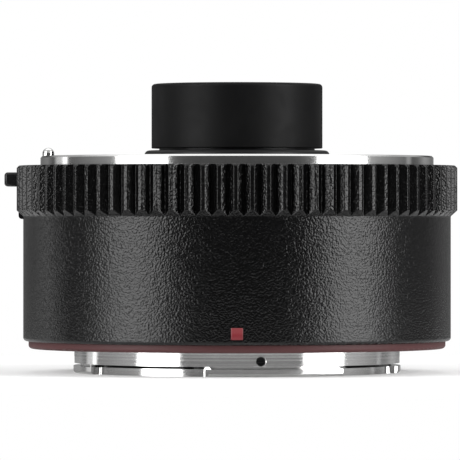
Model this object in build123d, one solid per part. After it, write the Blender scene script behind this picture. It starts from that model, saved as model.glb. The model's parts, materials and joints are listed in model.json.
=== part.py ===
"""Camera teleconverter: a short optical coupling that goes between a camera body and a lens.

Millimetres. The origin is on the optical axis, in the camera-side flange plane. +Z points to the lens
side and -Y to the face with the red index. An azimuth is counted in degrees from -Y towards +X.
"""

from build123d import *
import math
import os

# General clearances
overrun = 1.0  # how far a cutting shape runs past the surface that it cuts
seat_gap = 0.05  # between pieces that are screwed or pushed together
thread_gap = 0.04  # between a screw and its hole
glass_gap = 0.05  # between a lens element and what holds it
cement_gap = 0.03  # cement between two elements of one group

# Distance between the two flanges
flange_distance = 32.4

# Camera-side bayonet mount
register_radius = 27.4
register_depth = 2.35
mount_wall = 2.8  # of the register
mount_bore_radius = register_radius - mount_wall
flange_width = 5.7
mount_radius = register_radius + flange_width
mount_thick = 2.0
mount_step_z = 1.2  # height at which the flange steps in under the lip of the accent ring
mount_spigot_inset = 0.6
mount_spigot_radius = mount_radius - mount_spigot_inset
mount_lead = 0.3  # small chamfers along the edges of both mount rings
groove_width = 0.45
groove_depth = 1.0
groove_radius = register_radius - groove_depth
lug_proud = 0.15
lug_radius = register_radius + lug_proud
lug_width = 1.2
lug_round = 0.5
lug_chamfer = 0.35
gap_depth = 1.35
gap_radius = lug_radius - gap_depth
gap_corner = 0.8
lug_gap_azimuths = ((40.1, 76.0), (122.0, 166.0), (212.0, 256.0), (299.2, 349.5))

# Stop screw in the register
stop_azimuth = 8.3
stop_depth = 1.49
stop_hole_radius = 0.75
stop_hole_sink = 0.12
stop_screw_length = 1.6

# Screws
mount_screw_head = 1.7
mount_screw_shank = 0.85
mount_screw_length = 4.0
mount_screw_edge = 3.1
mount_screw_circle = mount_radius - mount_screw_edge
mount_screw_azimuths = (45, 135, 225, 315)
mount_screw_sunk = 0.05
small_screw_head = 1.2
small_screw_head_high = 0.7
small_screw_shank = 0.7
drive_width_share = 0.22  # of the head radius
drive_reach_share = 0.62  # of the head radius
drive_depth_share = 0.55  # of the head height

# Chassis wall and outer barrel
chassis_over = 0.8
chassis_radius = mount_radius + chassis_over
chassis_wall = 1.9
chassis_wall_inner = chassis_radius - chassis_wall
barrel_fit = 0.1
barrel_inner = chassis_radius + barrel_fit
sleeve_wall = 1.1
barrel_sleeve_radius = barrel_inner + sleeve_wall
barrel_wall = 2.0
barrel_radius = barrel_inner + barrel_wall
barrel_low = 1.31
barrel_round = 0.6
set_screw_radius = 0.8
set_screw_azimuths = (0, 120, 220)
set_screw_drop = 3.6
set_screw_reach = 2.4
set_screw_inner = chassis_radius - set_screw_reach

# Accent ring
accent_inset = 0.9
accent_radius = barrel_radius - accent_inset
accent_low = 0.05
accent_gap = 0.1
accent_round = 0.6

# Red index
index_side = 2.05
index_rise = 1.89
index_depth = 0.3
index_gap = 0.02

# Grip ring
rib_root_proud = 0.03
grip_root_radius = barrel_radius + rib_root_proud
rib_height = 1.07
grip_radius = grip_root_radius + rib_height
grip_chamfer = grip_radius - barrel_radius
grip_drop = 1.6
grip_height = 8.65
grip_lip_thick = 0.5
grip_lip_gap = 0.2
grip_top_round = 0.4
rib_count = 87
rib_top_width = 0.75
rib_root_width = 0.32
rib_phase_azimuth = -0.3
rib_pitch_angle = 360 / rib_count

# Lens-side mount
lens_ring_thick = 2.4
throat_clear = 0.1
lens_throat_radius = register_radius + throat_clear
catch_thick = 0.38
catch_edge = 0.1
catch_outer_radius = mount_radius - catch_edge
catch_step = 0.3
catch_inner_radius = lens_throat_radius + catch_step
catch_tab_reach = 1.0
catch_tab_radius = lens_throat_radius - catch_tab_reach
catch_tab_half_angle = 15.0
catch_tab_azimuths = (14.8, 99.0, 189.0, 277.6)
shim_thick = 0.22
lens_screw_edge = 2.8
lens_screw_circle = mount_radius - lens_screw_edge
lens_screw_length = 5.4

# Throat, web and foot of the chassis
chassis_throat_step = 0.25
chassis_throat_radius = lens_throat_radius + chassis_throat_step
chassis_throat_deep = 4.4
chassis_foot_reach = 3.0
chassis_foot_inner = mount_bore_radius - chassis_foot_reach
chassis_foot_thick = 3.0
web_drop = 10.4
web_thick = 2.0

# Lock pin and its spring
pin_edge = 1.3
pin_circle = mount_radius - pin_edge
pin_azimuth = -90.0
pin_radius = 1.0
pin_fit = 0.08
pin_hole_gap = 0.12
pin_proud = 1.4
pin_travel = 1.45
pin_length = 12.3
pin_boss_wall = 1.4
pin_boss_radius = pin_radius + pin_boss_wall
pin_boss_below = 2.0
peg_radius = 0.5
peg_drop = 1.3
peg_gap = 0.1
spring_length = 7.5
spring_wire = 0.3
spring_gap = 0.12
spring_turns = 7

# Release slider and finger tab
release_angle = 8.0
slide_inset = 0.2
slide_outer = chassis_radius - slide_inset
slide_wall = 0.7
slide_inner = slide_outer - slide_wall
slide_gap = 0.3
slide_height = 3.3
slide_clear = 0.2
slide_front_azimuth = -79.0
slide_back_azimuth = -104.0
slide_recess_angle = 1.5
tab_front_azimuth = -93.0
tab_back_azimuth = -101.4
tab_proud = 2.3
tab_radius = grip_radius + tab_proud
tab_drop = 1.1
tab_thick = 2.4
tab_root_round = 0.7
tab_corner = 0.5
tab_stem_thick = 1.0
tab_stem_angle = 1.2
window_angle = 0.7
window_clear = 0.3

# Release bezel
bezel_inset = 0.3
bezel_radius = grip_radius - bezel_inset
bezel_apron = 0.35
bezel_corner = 0.6
bezel_ribs = 7
bezel_front_azimuth = -89.25
bezel_back_azimuth = bezel_front_azimuth - bezel_ribs * rib_pitch_angle
bezel_gap_angle = 0.1

# Electrical contacts, with the insulators that carry them
contact_count = 11
contact_pitch = 2.0
contact_inset = 4.5
contact_circle = lens_throat_radius - contact_inset
contact_azimuth = 180.0
contact_step_angle = math.degrees(contact_pitch / contact_circle)
contact_half_angle = contact_step_angle * (contact_count - 1) / 2
tower_wall = 1.2
lens_tower_inner = contact_circle - tower_wall
lens_tower_outer = contact_circle + tower_wall
lens_tower_high = 2.0
tower_margin = 1.45
lens_tower_half_angle = contact_half_angle + math.degrees(tower_margin / contact_circle)
block_margin = 2.0
lens_block_half_angle = lens_tower_half_angle + math.degrees(block_margin / contact_circle)
block_wall = 1.8
lens_block_inner = contact_circle - block_wall
lens_block_drop = 3.6
lens_block_edge = 1.5
lens_block_screw_margin = 1.3
lens_block_screw_reach = 6.4
contact_pin_radius = 0.45
contact_pin_collar = 0.68
contact_pin_collar_high = 1.5
contact_pin_proud = 1.0
contact_pin_nose_share = 0.9  # of the pin's radius
contact_pin_gap = 0.07
contact_ceiling = 0.9
contact_bore_floor = 0.6
camera_block_reach = 2.7
camera_block_inner = contact_circle - camera_block_reach
camera_block_gap = 0.2
camera_block_outer = mount_bore_radius - camera_block_gap
camera_block_drop = 3.0
camera_ear_thick = 1.5
camera_ear_screw_margin = 1.4
camera_ear_margin = 1.4
camera_ear_screw_reach = 3.8
pad_tangent = 1.3
pad_radial = 1.9
pad_thick = 0.2
pad_proud = 0.05

# Front cell and its sleeve
cell_room = 5.6
cell_radius = lens_block_inner - cell_room
cell_wall = 1.3
cell_rear_bore = cell_radius - cell_wall
cell_below = 5.0
cell_shelf_rise = 0.95
cell_shelf_round = 0.8
cell_flange_gap = 0.3
cell_flange_radius = lens_block_inner - cell_flange_gap
cell_flange_thick = 1.2
cell_screw_edge = 1.6
cell_screw_circle = cell_flange_radius - cell_screw_edge
cell_screw_azimuths = (30, 150, 270)
cell_screw_reach = 1.9
snout_inset = 1.2
snout_radius = cell_radius - snout_inset
snout_wall = 1.3
snout_neck_radius = snout_radius - snout_wall
snout_neck_high = 0.35
snout_rise = 12.15
snout_lip = 0.65
snout_lip_reach = 0.3
snout_round = 0.6
cell_neck_wall = 0.9
cell_front_bore = snout_neck_radius - cell_neck_wall
snout_lip_inner = cell_front_bore - snout_lip_reach
cell_stop_step = 0.8
cell_stop_bore = cell_front_bore - cell_stop_step

# Hub of the chassis and rear cell
hub_room = 2.3
hub_inner = cell_radius + hub_room
hub_wall = 1.6
hub_outer = hub_inner + hub_wall
hub_rise = 1.4  # above the foot of the chassis
rear_cell_fit = 0.1
rear_cell_outer = hub_inner - rear_cell_fit
rear_cell_wall = 2.6
rear_cell_bore = rear_cell_outer - rear_cell_wall
rear_cell_step = 1.0
rear_cell_stop_bore = rear_cell_bore - rear_cell_step
rear_cell_lip = 1.2
rear_cell_apart = 0.4
rear_cell_flange_thick = 1.2
rear_cell_flange_radius = hub_outer - rear_cell_fit

# Rings in the cells
ring_wall = 1.35
front_ring_thick = 1.5
front_spacer_thick = 2.7
middle_ring_thick = 1.2
rear_ring_inset = 0.2
rear_ring_thick = 1.0

# Rim thickness of the elements in the front cell
rim_1 = 1.8
rim_2 = 2.5
rim_3 = 3.8
rim_4 = 3.0
rim_5 = 3.4
rim_6 = 3.8

# Rims of the last two elements, as shares of the free length in the rear cell
rim_7_share = 0.267
rim_8_share = 0.355

# Sag of each lens surface, positive where its middle stands nearer to the lens side than its rim
sag_1 = 1.0
sag_2 = 1.4
sag_3 = 1.0
sag_4 = -1.6
sag_5 = 0.9
sag_6 = -1.2
sag_7 = 0.9
sag_8 = -1.9
sag_9 = 0.9

# The same for the last two elements, as shares of their rims
sag_10_share = -0.54
sag_11_share = -1.2
sag_12_share = -0.47
sag_13_share = 0.22

# Throat floor
floor_rise = 1.4
floor_thick = 0.8
floor_gap = 0.3
floor_inset = 0.75
floor_radius = chassis_throat_radius - floor_inset
floor_post_edge = 1.8
floor_post_circle = floor_radius - floor_post_edge
floor_post_radius = 1.6
floor_post_margin = 2.6
floor_post_angle = lens_block_half_angle + math.degrees(floor_post_margin / contact_circle)
floor_screw_reach = 2.8
block_edge = 0.1
lens_block_outer = floor_radius - block_edge

# Rear baffle
baffle_gap = 0.3
baffle_radius = mount_bore_radius - baffle_gap
baffle_thick = 1.4
baffle_window_inset = 0.2
baffle_window_wide = (rear_cell_bore - baffle_window_inset) * 2
baffle_window_cut = 3.2
baffle_window_tall = (rear_cell_bore - baffle_window_cut) * 2
baffle_window_corner = 4.0
baffle_wall = 1.0
baffle_tunnel_gap = 0.3
baffle_cut_margin = 0.6
baffle_screw_edge = 1.3
baffle_screw_circle = baffle_radius - baffle_screw_edge
baffle_screw_azimuths = (0, 105, 255)
baffle_screw_reach = 3.6

# Circuit board
board_hub_gap = 0.9
board_boss_gap = 0.3
board_inner = hub_outer + board_hub_gap
board_gap = 0.3
board_outer = chassis_wall_inner - board_gap
board_thick = 0.8
board_ledge_width = 3.1
board_ledge_inner = board_outer - board_ledge_width
board_ledge_rise = 3.0
board_screw_edge = 1.5
board_screw_circle = board_outer - board_screw_edge
board_screw_azimuths = (60, 150, 300)
board_screw_reach = 2.6
chip_azimuths = (0, 48, 96, 262, 308)
chip_side_shares = (0.85, 0.51, 0.61, 0.61, 0.44)  # of the board's width inside its ledge
chip_high = 1.0
flex_thick = 0.2
front_flex_half_width = 5.0
front_flex_offset = 0.9
front_flex_slot_gap = 0.3
rear_flex_half_width = 4.0
rear_flex_offset = 0.4

# Heights that follow from the sizes above
lens_ring_low = flange_distance - lens_ring_thick
catch_low = lens_ring_low - catch_thick
chassis_high = catch_low - shim_thick
lug_high = -(register_depth + groove_width)
lug_low = lug_high - lug_width
grip_high = flange_distance - grip_drop
shoulder_z = grip_high - grip_height
barrel_high = grip_high - grip_lip_thick
foot_high = mount_thick + chassis_foot_thick
board_low = foot_high + board_ledge_rise
board_high = board_low + board_thick
web_high = flange_distance - web_drop
web_low = web_high - web_thick
hub_low = foot_high + hub_rise
floor_low = web_high + floor_rise
floor_high = floor_low + floor_thick
pin_high = flange_distance + pin_proud
pin_low = pin_high - pin_length
pin_bore_low = pin_low - spring_length
slide_high = chassis_high - slide_clear
slide_low = slide_high - slide_height
peg_z = slide_high - peg_drop
tab_high = grip_high - tab_drop
tab_low = tab_high - tab_thick
tab_root_low = tab_low - tab_root_round
stem_low = (tab_low + tab_high - tab_stem_thick) / 2
stem_high = stem_low + tab_stem_thick
set_screw_z = grip_high - set_screw_drop
lens_block_high = flange_distance - lens_block_drop
lens_block_step = lens_block_high - lens_tower_high
contact_ceiling_z = lens_block_high - contact_ceiling
ear_low = mount_thick - camera_ear_thick
baffle_low = mount_thick - baffle_thick

# Heights of the optical cells and the lens surfaces, each as rim height and sag
cell_low = web_high - cell_below
cell_flange_high = web_high + cell_flange_thick
cell_screw_seat = cell_flange_high - small_screw_head_high
shelf_z = flange_distance + cell_shelf_rise
snout_high = flange_distance + snout_rise
tube_high = snout_high - snout_lip
surface_1 = (tube_high - front_ring_thick, sag_1)
surface_2 = (surface_1[0] - rim_1, sag_2)
surface_3 = (surface_2[0] - front_spacer_thick, sag_3)
surface_4 = (surface_3[0] - rim_2, sag_4)
surface_5 = (surface_4[0] - rim_3, sag_5)
surface_9 = (cell_low + middle_ring_thick, sag_9)
surface_8 = (surface_9[0] + rim_6, sag_8)
surface_7 = (surface_8[0] + rim_5, sag_7)
surface_6 = (surface_7[0] + rim_4, sag_6)
rear_cell_low = hub_low - rear_cell_flange_thick
rear_cell_high = cell_low - rear_cell_apart
rear_group_low = rear_cell_low + rear_ring_inset + rear_ring_thick
rear_group_high = rear_cell_high - rear_cell_lip
rim_7 = (rear_group_high - rear_group_low) * rim_7_share
rim_8 = (rear_group_high - rear_group_low) * rim_8_share
surface_13 = (rear_group_low, rim_8 * sag_13_share)
surface_12 = (rear_group_low + rim_8, rim_8 * sag_12_share)
surface_11 = (rear_group_high - rim_7, rim_7 * sag_11_share)
surface_10 = (rear_group_high, rim_7 * sag_10_share)

# Places of the screws and edges beside the contacts
lens_block_screw_circle = lens_block_outer - lens_block_edge
lens_block_screw_angle = lens_block_half_angle - math.degrees(lens_block_screw_margin / contact_circle)
lens_block_screws = (contact_azimuth - lens_block_screw_angle, contact_azimuth + lens_block_screw_angle)
camera_screw_angle = lens_tower_half_angle + math.degrees(camera_ear_screw_margin / contact_circle)
ear_screws = (contact_azimuth - camera_screw_angle, contact_azimuth + camera_screw_angle)
camera_ear_half_angle = camera_screw_angle + math.degrees(camera_ear_margin / contact_circle)
baffle_cut_half_angle = camera_ear_half_angle + math.degrees(baffle_cut_margin / contact_circle)
floor_post_azimuths = (
    floor_post_angle,
    contact_azimuth - floor_post_angle,
    contact_azimuth + floor_post_angle,
    -floor_post_angle,
)


def at(azimuth):
    """Turn a shape that was made towards +X to an azimuth."""
    return Rot(0, 0, azimuth - 90)


def polar(radius, azimuth):
    """Flat point at a radius and an azimuth."""
    angle = math.radians(azimuth)
    return (radius * math.sin(angle), -radius * math.cos(angle))


def turned(*corners, arc=360):
    """Revolve a closed outline of (radius, height) corners, each with a rounding as its third value."""
    points = [corner[:2] for corner in corners]
    rounds = [corner[2] if len(corner) > 2 else 0 for corner in corners]
    outline = make_face(FilletPolyline(*points, radius=rounds, close=True))
    return revolve(Plane.XZ * outline, Axis.Z, revolution_arc=arc)


def ring(inner, outer, low, high):
    """Plain ring about the optical axis."""
    return turned((inner, low), (outer, low), (outer, high), (inner, high))


def sector(inner, outer, low, high, start, end):
    """Part of a ring from one azimuth to a larger one."""
    corners = ((inner, low), (outer, low), (outer, high), (inner, high))
    return at(start) * turned(*corners, arc=end - start)


def post(radius, low, high, circle=0, azimuth=90):
    """Upright cylinder whose axis stands at a radius and an azimuth."""
    x, y = polar(circle, azimuth)
    upright = (Align.CENTER, Align.CENTER, Align.MIN)
    return Pos(x, y, low) * Cylinder(radius, high - low, align=upright)


def rod(radius, inner, outer, height, azimuth):
    """Radial cylinder between two radii."""
    upright = (Align.CENTER, Align.CENTER, Align.MIN)
    lying = Rot(0, 90, 0) * Cylinder(radius, outer - inner, align=upright)
    return at(azimuth) * Pos(inner, 0, height) * lying


def drive(head_radius, head_high):
    """Cross recess that sinks from height 0."""
    depth = head_high * drive_depth_share
    wide = head_radius * drive_width_share * 2
    long = head_radius * drive_reach_share * 2
    top = (Align.CENTER, Align.CENTER, Align.MAX)
    slots = Box(long, wide, depth + overrun, align=top) + Box(wide, long, depth + overrun, align=top)
    return Pos(0, 0, overrun) * slots


def small_screw(reach):
    """Pan-head screw whose head stands on height 0."""
    upright = (Align.CENTER, Align.CENTER, Align.MIN)
    shank = Pos(0, 0, -reach) * Cylinder(small_screw_shank, reach, align=upright)
    head = Cylinder(small_screw_head, small_screw_head_high, align=upright)
    recess = drive(small_screw_head, small_screw_head_high)
    return head + shank - Pos(0, 0, small_screw_head_high) * recess


def sunk_screw(length):
    """Countersunk screw whose head is flush with height 0."""
    taper = mount_screw_head - mount_screw_shank
    body = turned(
        (0, 0),
        (mount_screw_head, 0),
        (mount_screw_shank, -taper),
        (mount_screw_shank, -length),
        (0, -length),
    )
    return body - drive(mount_screw_head, taper)


def sunk_hole(depth):
    """Hole for a countersunk screw, cut down from height 0."""
    head = mount_screw_head + thread_gap
    shank = mount_screw_shank + thread_gap
    return turned(
        (0, overrun),
        (head, overrun),
        (head, -mount_screw_sunk),
        (shank, -mount_screw_sunk - head + shank),
        (shank, -depth),
        (0, -depth),
    )


def placed(shape, circle, azimuths, height, flip=False):
    """Copies of an upright shape at several azimuths, turned upside down for the camera side."""
    stand = Rot(180, 0, 0) if flip else Rot(0, 0, 0)
    places = [polar(circle, azimuth) for azimuth in azimuths]
    return [Pos(x, y, height) * stand * shape for x, y in places]


def screw_holes(circle, azimuths, low, high):
    """Shank holes for small screws."""
    hole = small_screw_shank + thread_gap
    return [post(hole, low, high, circle, azimuth) for azimuth in azimuths]


def gap_pocket(start, end):
    """Milled gap between two lugs, with a cutter's round corners and flared ends."""
    flare = math.degrees(lug_chamfer / lug_radius)
    outside = lug_radius + overrun
    middle = (start + end) / 2
    inner_a, inner_b = polar(gap_radius, start), polar(gap_radius, end)
    knee_a, knee_b = polar(lug_radius - lug_chamfer, start), polar(lug_radius - lug_chamfer, end)
    rim_a = polar(lug_radius, start - flare)
    rim_b = polar(lug_radius, end + flare)
    out_a, out_b = polar(outside, start - flare), polar(outside, end + flare)
    outline = Curve() + [
        ThreePointArc(inner_a, polar(gap_radius, middle), inner_b),
        Line(inner_b, knee_b),
        Line(knee_b, rim_b),
        Line(rim_b, out_b),
        ThreePointArc(out_b, polar(outside, middle), out_a),
        Line(out_a, rim_a),
        Line(rim_a, knee_a),
        Line(knee_a, inner_a),
    ]
    face = make_face(outline)
    corners = [face.vertices().sort_by_distance((*point, 0))[0] for point in (inner_a, inner_b)]
    face = fillet(corners, gap_corner)
    return Pos(0, 0, lug_low - overrun) * extrude(face, lug_width + overrun)


def camera_mount():
    """Camera-side bayonet: flange, register, capture groove and four lugs, turned and milled."""
    mount = turned(
        (mount_bore_radius, lug_low, mount_lead),
        (lug_radius, lug_low, lug_round),
        (lug_radius, lug_high),
        (groove_radius, lug_high),
        (groove_radius, -register_depth),
        (register_radius, -register_depth),
        (register_radius, 0),
        (mount_radius, 0),
        (mount_radius, mount_step_z),
        (mount_spigot_radius, mount_step_z),
        (mount_spigot_radius, mount_thick),
        (mount_bore_radius, mount_thick),
    )
    key = post(pin_boss_radius, 0, mount_thick, pin_circle, pin_azimuth)
    mount += key & post(mount_radius, 0, mount_thick)
    mount -= [gap_pocket(start, end) for start, end in lug_gap_azimuths]
    screw_hole = sunk_hole(mount_thick + overrun)
    mount -= placed(screw_hole, mount_screw_circle, mount_screw_azimuths, 0, flip=True)
    pin_hole = pin_radius + pin_hole_gap
    mount -= post(pin_hole, -overrun, pin_proud + pin_hole_gap, pin_circle, pin_azimuth)
    inner, outer = mount_bore_radius - overrun, register_radius + overrun
    mount -= rod(stop_hole_radius, inner, outer, -stop_depth, stop_azimuth)
    sink_high = stop_hole_sink * 2
    sink = Rot(0, 90, 0) * Cone(stop_hole_radius, stop_hole_radius + sink_high, sink_high)
    mount -= at(stop_azimuth) * Pos(register_radius, 0, -stop_depth) * sink
    return mount


def stop_screw():
    """Slotted set screw at the inner end of the radial hole in the register."""
    radius = stop_hole_radius - thread_gap
    outer = mount_bore_radius + stop_screw_length
    screw = rod(radius, mount_bore_radius, outer, -stop_depth, stop_azimuth)
    slot = Box(stop_screw_length / 2, radius * 2, radius / 2)
    return screw - at(stop_azimuth) * Pos(outer, 0, -stop_depth) * slot


def camera_mount_screws():
    """Four countersunk screws that hold the bayonet on the chassis."""
    screw = sunk_screw(mount_screw_length)
    return placed(screw, mount_screw_circle, mount_screw_azimuths, mount_screw_sunk, flip=True)


def accent_ring():
    """Coloured ring at the foot of the barrel, its lip clamped between bayonet and chassis."""
    lip_outer = barrel_inner - accent_gap
    lip_high = mount_thick - seat_gap
    body = turned(
        (mount_radius + accent_gap, accent_low),
        (accent_radius, accent_low, accent_round),
        (accent_radius, barrel_low),
        (lip_outer, barrel_low),
        (lip_outer, lip_high),
        (mount_spigot_radius + accent_gap, lip_high),
        (mount_spigot_radius + accent_gap, mount_step_z),
        (mount_radius + accent_gap, mount_step_z),
    )
    return body - post(pin_boss_radius + accent_gap, 0, mount_thick, pin_circle, pin_azimuth)


def tab_window(inner, outer, low, high):
    """Clear path of the finger tab through a wall, over its whole travel."""
    start = tab_back_azimuth - release_angle - window_angle
    return sector(inner, outer, low, high, start, tab_front_azimuth + window_angle)


def index_block(gap):
    """Square block that sinks radially into the front of the barrel."""
    side = index_side - gap * 2
    outward = overrun if gap == 0 else 0
    block = Box(side, index_depth - gap + outward, side, align=(Align.CENTER, Align.MAX, Align.CENTER))
    return Pos(0, -barrel_radius + index_depth - gap, barrel_low + index_rise) * block


def outer_barrel():
    """Painted barrel with a thinner sleeve under the grip ring."""
    barrel = turned(
        (barrel_inner, barrel_low),
        (barrel_radius, barrel_low, barrel_round),
        (barrel_radius, shoulder_z),
        (barrel_sleeve_radius, shoulder_z),
        (barrel_sleeve_radius, barrel_high),
        (barrel_inner, barrel_high),
    )
    barrel -= index_block(0)
    window_low = tab_root_low - window_clear
    barrel -= tab_window(barrel_inner - overrun, barrel_sleeve_radius + overrun, window_low, grip_high)
    hole = set_screw_radius + thread_gap
    outside = barrel_sleeve_radius + overrun
    barrel -= [rod(hole, barrel_inner - overrun, outside, set_screw_z, a) for a in set_screw_azimuths]
    return barrel


def index_mark():
    """Red square index, flush with the barrel."""
    side = index_side - index_gap * 2
    middle = barrel_low + index_rise
    inlay = Pos(0, -barrel_radius, middle) * Box(side, index_depth * 2, side)
    floor = barrel_radius - index_depth + index_gap
    return inlay & ring(floor, barrel_radius, middle - index_side, middle + index_side)


def ribbed_outline():
    """Flat outline of the straight ribs, four points to a rib."""
    top = math.degrees(rib_top_width / 2 / grip_radius)
    root = rib_pitch_angle / 2 - math.degrees(rib_root_width / 2 / grip_root_radius)
    points = []
    for rib in range(rib_count):
        centre = rib_phase_azimuth + rib * rib_pitch_angle
        points.append(polar(grip_root_radius, centre - root))
        points.append(polar(grip_radius, centre - top))
        points.append(polar(grip_radius, centre + top))
        points.append(polar(grip_root_radius, centre + root))
    return make_face(Polyline(*points, close=True))


def grip_ring():
    """Ribbed grip ring with a bevelled lower end, open where the release bezel sits."""
    ribs = Pos(0, 0, shoulder_z) * extrude(ribbed_outline(), grip_high - shoulder_z)
    outside = grip_radius + overrun
    lip_inner = mount_radius + grip_lip_gap
    blank = turned(
        (barrel_sleeve_radius + seat_gap, shoulder_z),
        (grip_radius - grip_chamfer, shoulder_z),
        (outside, shoulder_z + grip_chamfer + overrun),
        (outside, grip_high - grip_top_round - overrun),
        (grip_radius - grip_top_round, grip_high),
        (lip_inner, grip_high),
        (lip_inner, barrel_high),
        (barrel_sleeve_radius + seat_gap, barrel_high),
    )
    body = ribs & blank
    low, high = shoulder_z - overrun, grip_high + overrun
    body -= sector(lip_inner - overrun, outside, low, high, bezel_back_azimuth, bezel_front_azimuth)
    return body


def release_bezel():
    """Smooth panel that closes the break in the ribs and frames the finger tab."""
    apron_low = shoulder_z - bezel_apron
    start = bezel_back_azimuth + bezel_gap_angle
    end = bezel_front_azimuth - bezel_gap_angle
    profile = (
        (barrel_sleeve_radius + seat_gap, shoulder_z),
        (barrel_radius + seat_gap, shoulder_z),
        (barrel_radius + seat_gap, apron_low),
        (bezel_radius, apron_low, bezel_corner),
        (bezel_radius, grip_high, bezel_corner),
        (mount_radius + grip_lip_gap, grip_high),
        (mount_radius + grip_lip_gap, barrel_high),
        (barrel_sleeve_radius + seat_gap, barrel_high),
    )
    panel = at(start) * turned(*profile, arc=end - start)
    inner, outer = barrel_sleeve_radius - overrun, bezel_radius + overrun
    return panel - tab_window(inner, outer, tab_root_low - window_clear, tab_high + window_clear)


def slot_cut():
    """Slanted slot that draws the lock pin down as the slider turns."""
    run = math.radians(release_angle) * (slide_inner + slide_outer) / 2
    length = math.hypot(run, pin_travel)
    slope = math.degrees(math.atan2(pin_travel, run))
    wide = (peg_radius + peg_gap) * 2
    flat = Rot(0, 0, -slope) * SlotCenterToCenter(length, wide)
    middle = pin_azimuth + release_angle / 2
    cutter = extrude(Plane.YZ * flat, slide_outer - slide_inner + overrun * 2)
    return at(middle) * Pos(slide_inner - overrun, 0, peg_z - pin_travel / 2) * cutter


def release_slider():
    """Curved steel plate that turns about the optical axis, with a stem for the finger tab."""
    start, end = slide_back_azimuth, slide_front_azimuth
    plate = sector(slide_inner, slide_outer, slide_low, slide_high, start, end)
    stem_start = tab_back_azimuth + tab_stem_angle
    stem_end = tab_front_azimuth - tab_stem_angle
    plate += sector(slide_inner, bezel_radius, stem_low, stem_high, stem_start, stem_end)
    return plate - slot_cut()


def release_tab():
    """Moulded finger tab pushed onto the stem, its root flared below."""
    inner = barrel_inner + slide_gap
    profile = (
        (inner, tab_root_low),
        (grip_radius, tab_root_low),
        (grip_radius, tab_low, tab_root_round - seat_gap),
        (tab_radius, tab_low, tab_corner),
        (tab_radius, tab_high, tab_corner),
        (inner, tab_high),
    )
    tab = at(tab_back_azimuth) * turned(*profile, arc=tab_front_azimuth - tab_back_azimuth)
    gap_angle = math.degrees(seat_gap / bezel_radius)
    stem_start = tab_back_azimuth + tab_stem_angle - gap_angle
    stem_end = tab_front_azimuth - tab_stem_angle + gap_angle
    low, high = stem_low - seat_gap, stem_high + seat_gap
    socket = sector(inner - overrun, bezel_radius + seat_gap, low, high, stem_start, stem_end)
    return tab - socket


def lock_pin():
    """Domed steel pin with the peg that runs in the slider's slot."""
    x, y = polar(pin_circle, pin_azimuth)
    dome_z = pin_high - pin_radius
    body = post(pin_radius, pin_low, dome_z, pin_circle, pin_azimuth)
    dome = Pos(x, y, dome_z) * Sphere(pin_radius)
    peg = rod(peg_radius, pin_circle, slide_outer, peg_z, pin_azimuth)
    return body + dome + peg


def lock_pin_spring():
    """Coil spring under the lock pin, drawn at its fitted length."""
    x, y = polar(pin_circle, pin_azimuth)
    coil_radius = pin_radius + pin_fit - spring_gap - spring_wire / 2
    high = spring_length - spring_wire
    path = Helix(pitch=high / spring_turns, height=high, radius=coil_radius)
    section = Plane(origin=path @ 0, z_dir=path % 0) * RegularPolygon(spring_wire / 2, 6)
    coil = sweep(section, path=path)
    return Pos(x, y, pin_bore_low + spring_wire / 2) * coil


def lens_mount_ring():
    """Chrome lens-side mount ring."""
    body = turned(
        (lens_throat_radius, lens_ring_low),
        (mount_radius, lens_ring_low),
        (mount_radius, flange_distance - mount_lead),
        (mount_radius - mount_lead, flange_distance),
        (lens_throat_radius + mount_lead, flange_distance),
        (lens_throat_radius, flange_distance - mount_lead),
    )
    hole = sunk_hole(lens_ring_thick + overrun)
    body -= placed(hole, lens_screw_circle, mount_screw_azimuths, flange_distance)
    low, high = lens_ring_low - overrun, flange_distance + overrun
    return body - post(pin_radius + pin_hole_gap, low, high, pin_circle, pin_azimuth)


def lens_mount_screws():
    """Four countersunk screws that hold the lens-side ring, catch ring and shim on the chassis."""
    screw = sunk_screw(lens_screw_length)
    return placed(screw, lens_screw_circle, mount_screw_azimuths, flange_distance - mount_screw_sunk)


def ring_holes(low, high):
    """Screw and pin holes through the thin rings of the lens side."""
    hole = mount_screw_shank + thread_gap
    cuts = [post(hole, low, high, lens_screw_circle, a) for a in mount_screw_azimuths]
    cuts.append(post(pin_radius + pin_hole_gap, low, high, pin_circle, pin_azimuth))
    return cuts


def catch_spring_ring():
    """Thin spring-steel ring whose four tabs press on the back of a lens's lugs."""
    body = ring(catch_inner_radius, catch_outer_radius, catch_low, lens_ring_low)
    for azimuth in catch_tab_azimuths:
        start, end = azimuth - catch_tab_half_angle, azimuth + catch_tab_half_angle
        body += sector(catch_tab_radius, catch_outer_radius, catch_low, lens_ring_low, start, end)
    return body - ring_holes(catch_low - overrun, lens_ring_low + overrun)


def lens_mount_shim():
    """Shim that sets the distance between the two flanges."""
    body = ring(catch_inner_radius, chassis_radius, chassis_high, catch_low)
    return body - ring_holes(chassis_high - overrun, catch_low + overrun)


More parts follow.
